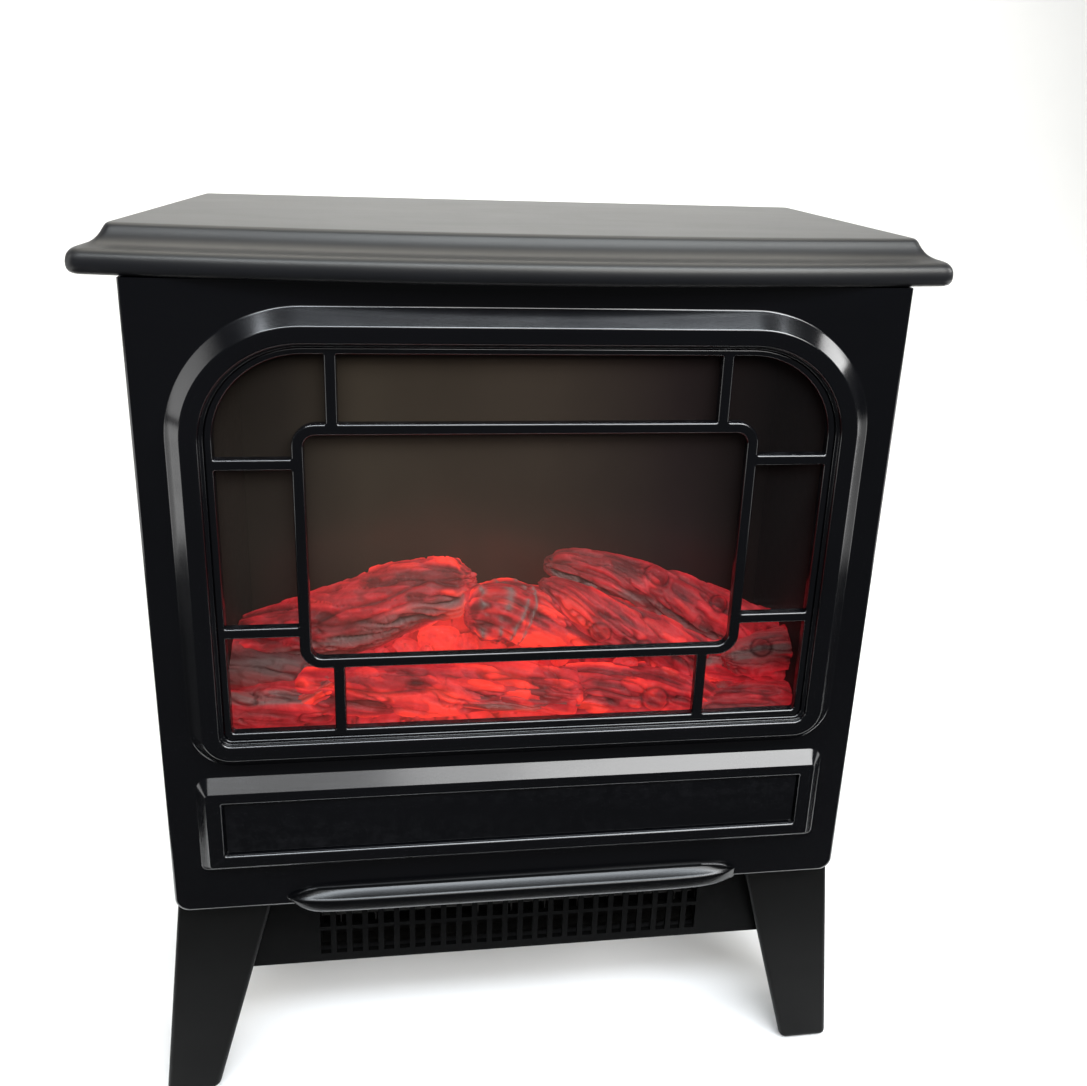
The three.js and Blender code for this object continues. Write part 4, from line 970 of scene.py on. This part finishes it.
def make_bed():
    nx, ny = 300, 90
    X, Y = np.meshgrid(np.linspace(-LX, LX, nx), np.linspace(-79.5, -9, ny))
    P = np.stack([X, Y, X * 0], -1)
    cell = vnoise(P / np.array([9.0, 8.0, 1.0]), 5)
    lump = fbm(P / np.array([13.0, 11.0, 1.0]), 8, 4)
    Z = 231 + 9 * sstep(-80, -60, Y) + 7 * (lump - 0.4) + 2.2 * np.floor(cell * 4) / 4 + 30 * np.exp(-(((X + 36) / 34) ** 2 + ((Y + 28) / 18) ** 2)) + 20 * np.exp(-(((X - 20) / 30) ** 2 + ((Y + 28) / 18) ** 2))
    crack = sstep(0.9, 0.98, 1 - np.abs(2 * fbm(P / np.array([10.0, 8.0, 1.0]), 12, 3) - 1))
    Z -= 1.5 * crack
    glow = 0.35 + 0.9 * np.exp(-((X + 20) / 70) ** 2)
    tone = np.stack([glow, 0.8 * crack, 0.3 * sstep(0.5, 0.65, lump)], -1).reshape(-1, 3)
    top = np.stack([X, Y, Z], -1)
    idx = np.arange(nx * ny).reshape(ny, nx)
    faces = np.stack([idx[:-1, :-1], idx[:-1, 1:], idx[1:, 1:], idx[1:, :-1]], -1).reshape(-1, 4).tolist()
    verts = top.reshape(-1, 3)
    loop = list(idx[0]) + list(idx[1:, -1]) + list(idx[-1, -2::-1]) + list(idx[-2:0:-1, 0])
    base = len(verts)
    skirt = verts[loop].copy()
    skirt[:, 2] = LZ0
    n = len(loop)
    for i in range(n):
        j = (i + 1) % n
        faces.append([loop[j], loop[i], base + i, base + j])
    faces.append([base + i for i in range(n)][::-1])
    verts = np.concatenate([verts, skirt])
    tone = np.concatenate([tone, tone[loop]])
    me = bpy.data.meshes.new("ember_bed")
    me.from_pydata((verts * MM).tolist(), [], faces)
    add_tone(me, tone)
    o = bpy.data.objects.new("ember_bed", me)
    scene.collection.objects.link(o)
    finish_shading(o, 60, False)
    me.materials.append(LOGM)
    return o


def make_ember(name, centre, size, seed, glow, rot):
    """A faceted, softened lump of ember."""
    bm = bmesh.new()
    bmesh.ops.create_icosphere(bm, subdivisions=5, radius=1.0)
    rng = np.random.RandomState(seed)
    planes = rng.normal(size=(9, 3))
    planes /= np.linalg.norm(planes, axis=1)[:, None]
    dist = 0.62 + 0.3 * rng.rand(9)
    m = Matrix.Rotation(rot, 3, "Y")
    co = np.array([v.co[:] for v in bm.verts])
    r = np.min(np.where(co @ planes.T > 0.05, dist / np.maximum(co @ planes.T, 0.05), 9), axis=1)
    r = np.minimum(r, 1.0)
    nse = fbm(co * 2.6 + seed, seed, 3)
    co = co * (r * (0.94 + 0.12 * nse))[:, None]
    for v, p in zip(bm.verts, co):
        q = m @ Vector((p[0] * size[0], p[1] * size[1], p[2] * size[2]))
        v.co = Vector(((q.x + centre[0]), (q.y + centre[1]), max(q.z + centre[2], LZ0))) * MM
    me = bpy.data.meshes.new(name)
    bm.to_mesh(me)
    bm.free()
    tone = np.stack([glow * (0.8 + 0.5 * nse), 0.5 * sstep(0.6, 0.75, nse), 0 * nse], -1)
    add_tone(me, tone)
    o = bpy.data.objects.new(name, me)
    scene.collection.objects.link(o)
    finish_shading(o, 45, False)
    me.materials.append(LOGM)
    return o


LOGM, nt, b, _ = new_mat("mat_log")
at = node(nt, "ShaderNodeAttribute", attribute_name="tone")
sp = node(nt, "ShaderNodeSeparateColor")
nt.links.new(at.outputs["Color"], sp.inputs[0])
n1 = noise(nt, 55.0, 5, 0.62)
n2 = noise(nt, 420.0, 3, 0.6)
n3 = noise(nt, 130.0, 5, 0.65, distortion=0.8)
paint = ramp(nt, n1.outputs["Fac"], [(0.3, (0.05, 0.012, 0.012)), (0.7, (0.12, 0.030, 0.030))])
ashm = node(nt, "ShaderNodeMix", data_type="RGBA")
nt.links.new(sp.outputs[2], ashm.inputs[0])
nt.links.new(paint.outputs[0], ashm.inputs[6])
ashm.inputs[7].default_value = (0.30, 0.21, 0.19, 1)
dk = node(nt, "ShaderNodeMix", data_type="RGBA")
nt.links.new(sp.outputs[1], dk.inputs[0])
nt.links.new(ashm.outputs[2], dk.inputs[6])
dk.inputs[7].default_value = (0.030, 0.006, 0.006, 1)
nt.links.new(dk.outputs[2], b.inputs["Base Color"])
hue = ramp(nt, n3.outputs["Fac"], [(0.28, (0.45, 0.008, 0.014)), (0.5, (0.78, 0.018, 0.030)), (0.7, (0.86, 0.060, 0.078))])
hot = node(nt, "ShaderNodeMix", data_type="RGBA")
hotf = map_range(nt, sp.outputs[0], 0.8, 1.5, 0.0, 1.0)
nt.links.new(hotf.outputs[0], hot.inputs[0])
nt.links.new(hue.outputs[0], hot.inputs[6])
hot.inputs[7].default_value = (1.0, 0.036, 0.022, 1)
nt.links.new(hot.outputs[2], b.inputs["Emission Color"])
keep1 = map_range(nt, sp.outputs[1], 0.0, 1.0, 1.0, 0.2)
keep2 = map_range(nt, sp.outputs[2], 0.0, 1.0, 1.0, 0.10)
flick = map_range(nt, n1.outputs["Fac"], 0.25, 0.75, 0.62, 1.3)
mul = None
for s_ in (keep1.outputs[0], keep2.outputs[0], flick.outputs[0], sp.outputs[0]):
    if mul is None:
        mul = s_
        continue
    k_ = node(nt, "ShaderNodeMath", operation="MULTIPLY")
    nt.links.new(mul, k_.inputs[0])
    nt.links.new(s_, k_.inputs[1])
    mul = k_.outputs[0]
k_ = node(nt, "ShaderNodeMath", operation="MULTIPLY")
nt.links.new(mul, k_.inputs[0])
k_.inputs[1].default_value = 1.3
nt.links.new(k_.outputs[0], b.inputs["Emission Strength"])
b.inputs["Roughness"].default_value = 0.55
b.inputs["Specular IOR Level"].default_value = 0.35
bump(nt, b, [(n3.outputs["Fac"], 0.0009), (n2.outputs["Fac"], 0.00025)])

log_objs = []
A = math.radians


def L(name, pts, **kw):
    log_objs.append(make_log("log_" + name, pts, **kw))


L("upper_left", [(-160, -38, 256, 17), (-140, -38, 262, 18.5), (-103, -39, 273.5, 20.5), (-81, -39, 282.5, 20), (-59, -38, 291, 18.5), (-30, -38, 297.5, 16)],
  seed=11, glow=(0.6, 0.68, 0.74, 0.8, 1.02, 1.6), char=(0.10, A(-50), A(34)), groove=((0.25, A(4), 0.9, A(14), 1.6, 2.0),),
  ends=(2, 6), rough_end=(1, 2.6))
L("upper_right_rear", [(21, -30, 302.5, 8), (34, -31, 301, 11), (48, -32, 298.5, 12), (77, -34, 288, 14), (107, -38, 274, 15.5), (124, -40, 267, 15.5), (165, -42, 250, 15)],
  seed=23, glow=(0.45, 0.55, 0.68, 0.72, 0.66, 0.55, 0.4), char=(0.2, A(-58), A(32)), knots=((0.36, A(38), 5.5, 2.6), (0.62, A(30), 4.5, 1.8)),
  ends=(6, 2), rough_end=(1.4, 1))
L("upper_right_front", [(15.5, -42, 295, 6.5), (24, -44, 291, 10), (32, -46, 287, 12), (52, -48, 277, 13.5), (81, -50, 264, 13.5), (104, -52, 254, 13)],
  seed=37, glow=(0.6, 0.8, 0.9, 0.95, 0.85, 0.7), char=(0.12, A(-100), A(40)), knots=((0.36, A(-38), 5.0, 2.4), (0.62, A(-30), 4.0, 1.8)), ends=(6, 3))
L("stump", [(-25, -46, 281, 15.5), (-10, -46, 284, 17.5), (13, -44, 279, 17), (42, -40, 266, 15)],
  seed=41, glow=(1.15, 1.28, 1.5, 1.5), char=(0.06, 0, 0), ends=(9, 3), arcs=((0.06, 2.5, 2.0), (0.2, 3.0, 1.7), (0.31, 3.5, 1.3), (0.39, 3.0, 0.9)))
L("front_right", [(26.5, -64, 245.5, 12.5), (50, -64, 245.7, 13.5), (73, -64, 243.4, 13), (96, -64, 239, 10), (112, -62, 231.8, 8)],
  seed=53, glow=(1.2, 1.25, 1.2, 1.0, 0.66), char=(0.05, 0, 0), knots=((0.53, A(-22), 5.6, 2.4),), ends=(2.2, 3), rough_end=(0.5, 1))
L("front_right_low", [(95, -68, 234.4, 8), (130, -68, 236.6, 9), (160, -68, 237, 9)], seed=59, glow=(0.55, 0.5, 0.42), char=(0.2, 0, 0))
L("rear_right", [(104, -47, 250, 13), (125, -46, 252, 16), (146, -45, 253, 17), (170, -45, 253, 17)], seed=61, glow=(0.95, 0.65, 0.42, 0.32), char=(0.2, A(-20), A(16)))
L("right_end", [(117, -60, 258, 8), (134, -60, 261, 10), (165, -56, 262, 11)], seed=67, glow=(0.5, 0.42, 0.36), char=(0.4, A(6), A(24)), knots=((0.36, A(20), 4.2, 1.6),), ends=(5, 2))
L("front_long", [(-116, -64, 250, 10.5), (-89, -66, 251.6, 12.3), (-53, -66, 251.2, 13.2), (-10, -66, 249.8, 13), (31, -66, 247.4, 12)],
  seed=71, glow=(0.9, 1.05, 1.15, 1.2, 1.1), char=(0.06, 0, 0), groove=((0.05, A(15), 0.55, A(-10), 1.3, 1.4), (0.5, A(28), 1.0, A(20), 1.2, 1.4)), ends=(4, 3), contrast=0.72)
L("front_long_slab", [(-38, -71, 252.5, 6.5), (-20, -72, 252, 8), (10, -72, 250.5, 8), (32, -71, 249, 7.5)],
  seed=73, glow=(0.95, 1.1, 1.15, 1.0), char=(0.08, A(-60), A(20)), ends=(6, 3))
L("front_left", [(-156, -66, 245, 10), (-136, -66, 245, 12), (-115, -66, 246.7, 12), (-97, -66, 247.7, 11)],
  seed=79, glow=(0.64, 0.68, 0.8, 0.95), char=(0.2, A(22), A(22)), ends=(2, 4), contrast=0.72)
L("front_left_branch", [(-124, -68, 240, 5), (-112, -70, 250, 6), (-98, -68, 258.5, 6)], seed=83, glow=(0.9, 1.0, 1.1), char=(0.5, A(0), A(18)), ends=(3, 3))
L("rear_left", [(-158, -52, 260, 13.5), (-136, -52, 258, 14), (-114, -52, 255, 13.5)], seed=89, glow=(0.42, 0.36, 0.4), char=(0.35, A(-10), A(36)), ends=(2, 3))
for i, (cx, cy, cz, sx, sy, sz, g_) in enumerate((
        (-43, -46, 268, 12, 9, 9, 1.3), (-60, -48, 262, 9, 8, 6, 1.1), (-29, -50, 264, 8, 7, 8, 1.2), (-72, -50, 258, 9, 8, 5, 0.9),
        (-50, -54, 258, 11, 7, 6, 1.15), (8, -52, 262, 9, 7, 6, 1.2), (24, -52, 260, 8, 7, 6, 1.2), (60, -56, 254, 8, 6, 5, 1.0),
        (-86, -50, 258, 12, 8, 7, 0.75), (92, -56, 246, 8, 6, 5, 0.8))):
    log_objs.append(make_ember("ember_%02d" % i, (cx, cy, cz), (sx, sy, sz), 200 + i, g_, 0.4 * i))
log_objs.append(make_bed())
for o in log_objs:
    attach(o, "cabinet")
    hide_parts("log_set")

# CAD nodes that stay
KEEP = {"black_sheet": SHEETM, "grille_plastic": GRILLE, "diffuser": SCREEN, "bright_steel": STEEL, "aluminium_foil": FOIL,
        "circuit_board": BOARD, "nylon": NYLON, "rubber": RUBBER, "motor_black": SHEETM, "ceramic": CERAMIC,
        "control_plastic": CONTROL, "log_resin": NYLON, "black_moulding": GLOSS, "smoked_glass": GLASS}
slots = {s["node"]: s["material_slot"] for s in frame["record"]["subparts"]}
for n, o in NODES.items():
    o.data.materials.clear()
    # the heater element and frame take the dark painted-shade metal instead of their own material
    o.data.materials.append(INNER if n.startswith("firebox_") else HEATER_PAINTED_SHADE if n in ("heater_element", "heater_frame") else KEEP[slots[n]])
    finish_shading(o, 35, False)
    if n not in ("log_set", "front_panel", "window_lattice", "window_glass", "lower_insert_plate", "top_cover", "fan_impeller"):
        bv = o.modifiers.new("edge", "BEVEL")
        bv.width = 0.00035
        bv.segments = 2
        bv.limit_method = "ANGLE"
        bv.angle_limit = math.radians(40)
        bv.use_clamp_overlap = True

# ------------------------------------------------------------------ stage
def stage():
    m = Builder()
    n = 14
    rows = [(-160, 0, -360, 400), (0, 0, -400, 520), (150, 0, -760, 820), (330, 0, -2400, 2400), (900, 0, -3600, 3600)]
    for i in range(1, n + 1):
        a = i / n * math.pi / 2
        rows.append((900 + 900 * math.sin(a), 900 - 900 * math.cos(a), -3600, 3600))
    rows.append((1800, 3600, -3600, 3600))
    rows = [m.ring([(x0, y, z), (x1, y, z)]) for y, z, x0, x1 in rows]
    for a, b_ in zip(rows, rows[1:]):
        m.face((a[0], a[1], b_[1], b_[0]))
    mt, nt, b, _ = new_mat("mat_floor")
    f = noise(nt, 3.0, 3)
    c = ramp(nt, f.outputs["Fac"], [(0.3, (0.80, 0.80, 0.80)), (0.7, (0.83, 0.83, 0.83))])
    nt.links.new(c.outputs[0], b.inputs["Base Color"])
    b.inputs["Roughness"].default_value = 0.8
    b.inputs["Specular IOR Level"].default_value = 0.1
    o = m.obj("stage_floor", mt, 60, fix=False)
    return o


stage()


def area(name, loc, target, sx, sy, power, color=(1, 1, 1)):
    l = bpy.data.lights.new(name, "AREA")
    l.shape = "RECTANGLE"
    l.size, l.size_y = sx, sy
    l.energy = power
    l.color = color
    o = bpy.data.objects.new(name, l)
    scene.collection.objects.link(o)
    o.location = loc
    o.rotation_mode = "QUATERNION"
    o.rotation_quaternion = (Vector(target) - Vector(loc)).to_track_quat("-Z", "Y")
    return o


world = bpy.data.worlds.new("world")
scene.world = world
world.use_nodes = True
world.node_tree.nodes["Background"].inputs[0].default_value = (0.92, 0.95, 1.0, 1)
world.node_tree.nodes["Background"].inputs[1].default_value = 0.05
area("soft_top_front", (0.86, -1.16, 1.42), (0.1, 0, 0.25), 1.34, 0.72, 26)
area("soft_top_mid", (0.03, -1.16, 1.42), (0, 0, 0.25), 0.32, 0.72, 3.7)
area("soft_top_left", (-0.56, -1.16, 1.42), (-0.1, 0, 0.25), 0.86, 0.66, 2.9)
area("overhead_left", (-0.9, -0.95, 1.85), (-0.1, -0.1, 0.25), 0.7, 0.3, 11, (0.88, 0.94, 1.0))
area("overhead_right", (1.15, -0.95, 1.85), (0.1, -0.1, 0.25), 0.7, 0.3, 11, (0.88, 0.94, 1.0))
area("overhead_mid", (0.12, -0.95, 1.85), (0.05, -0.1, 0.25), 1.36, 0.4, 25, (0.86, 0.93, 1.0))
area("ceiling", (0.0, 0.6, 2.4), (0, 0.4, 0), 2.6, 1.6, 35, (1.0, 0.975, 0.91))
area("side_right", (1.55, 0.02, 0.97), (0, -0.05, 0.35), 0.45, 0.5, 5.6)
area("side_left", (-1.5, 0.02, 0.72), (0, -0.05, 0.35), 0.6, 1.1, 3.2)
area("low_right", (1.05, -0.15, 0.06), (0, -0.05, 0.3), 0.7, 0.3, 1.1)
area("low_left", (-1.05, -0.25, 0.06), (0, -0.05, 0.3), 0.7, 0.3, 1.1)
area("back_wash", (0.0, 0.9, 1.9), (0, 1.8, 0.6), 3.0, 0.7, 20, (1.0, 0.95, 0.82))

scene.view_settings.view_transform = "Standard"
scene.view_settings.look = "None"
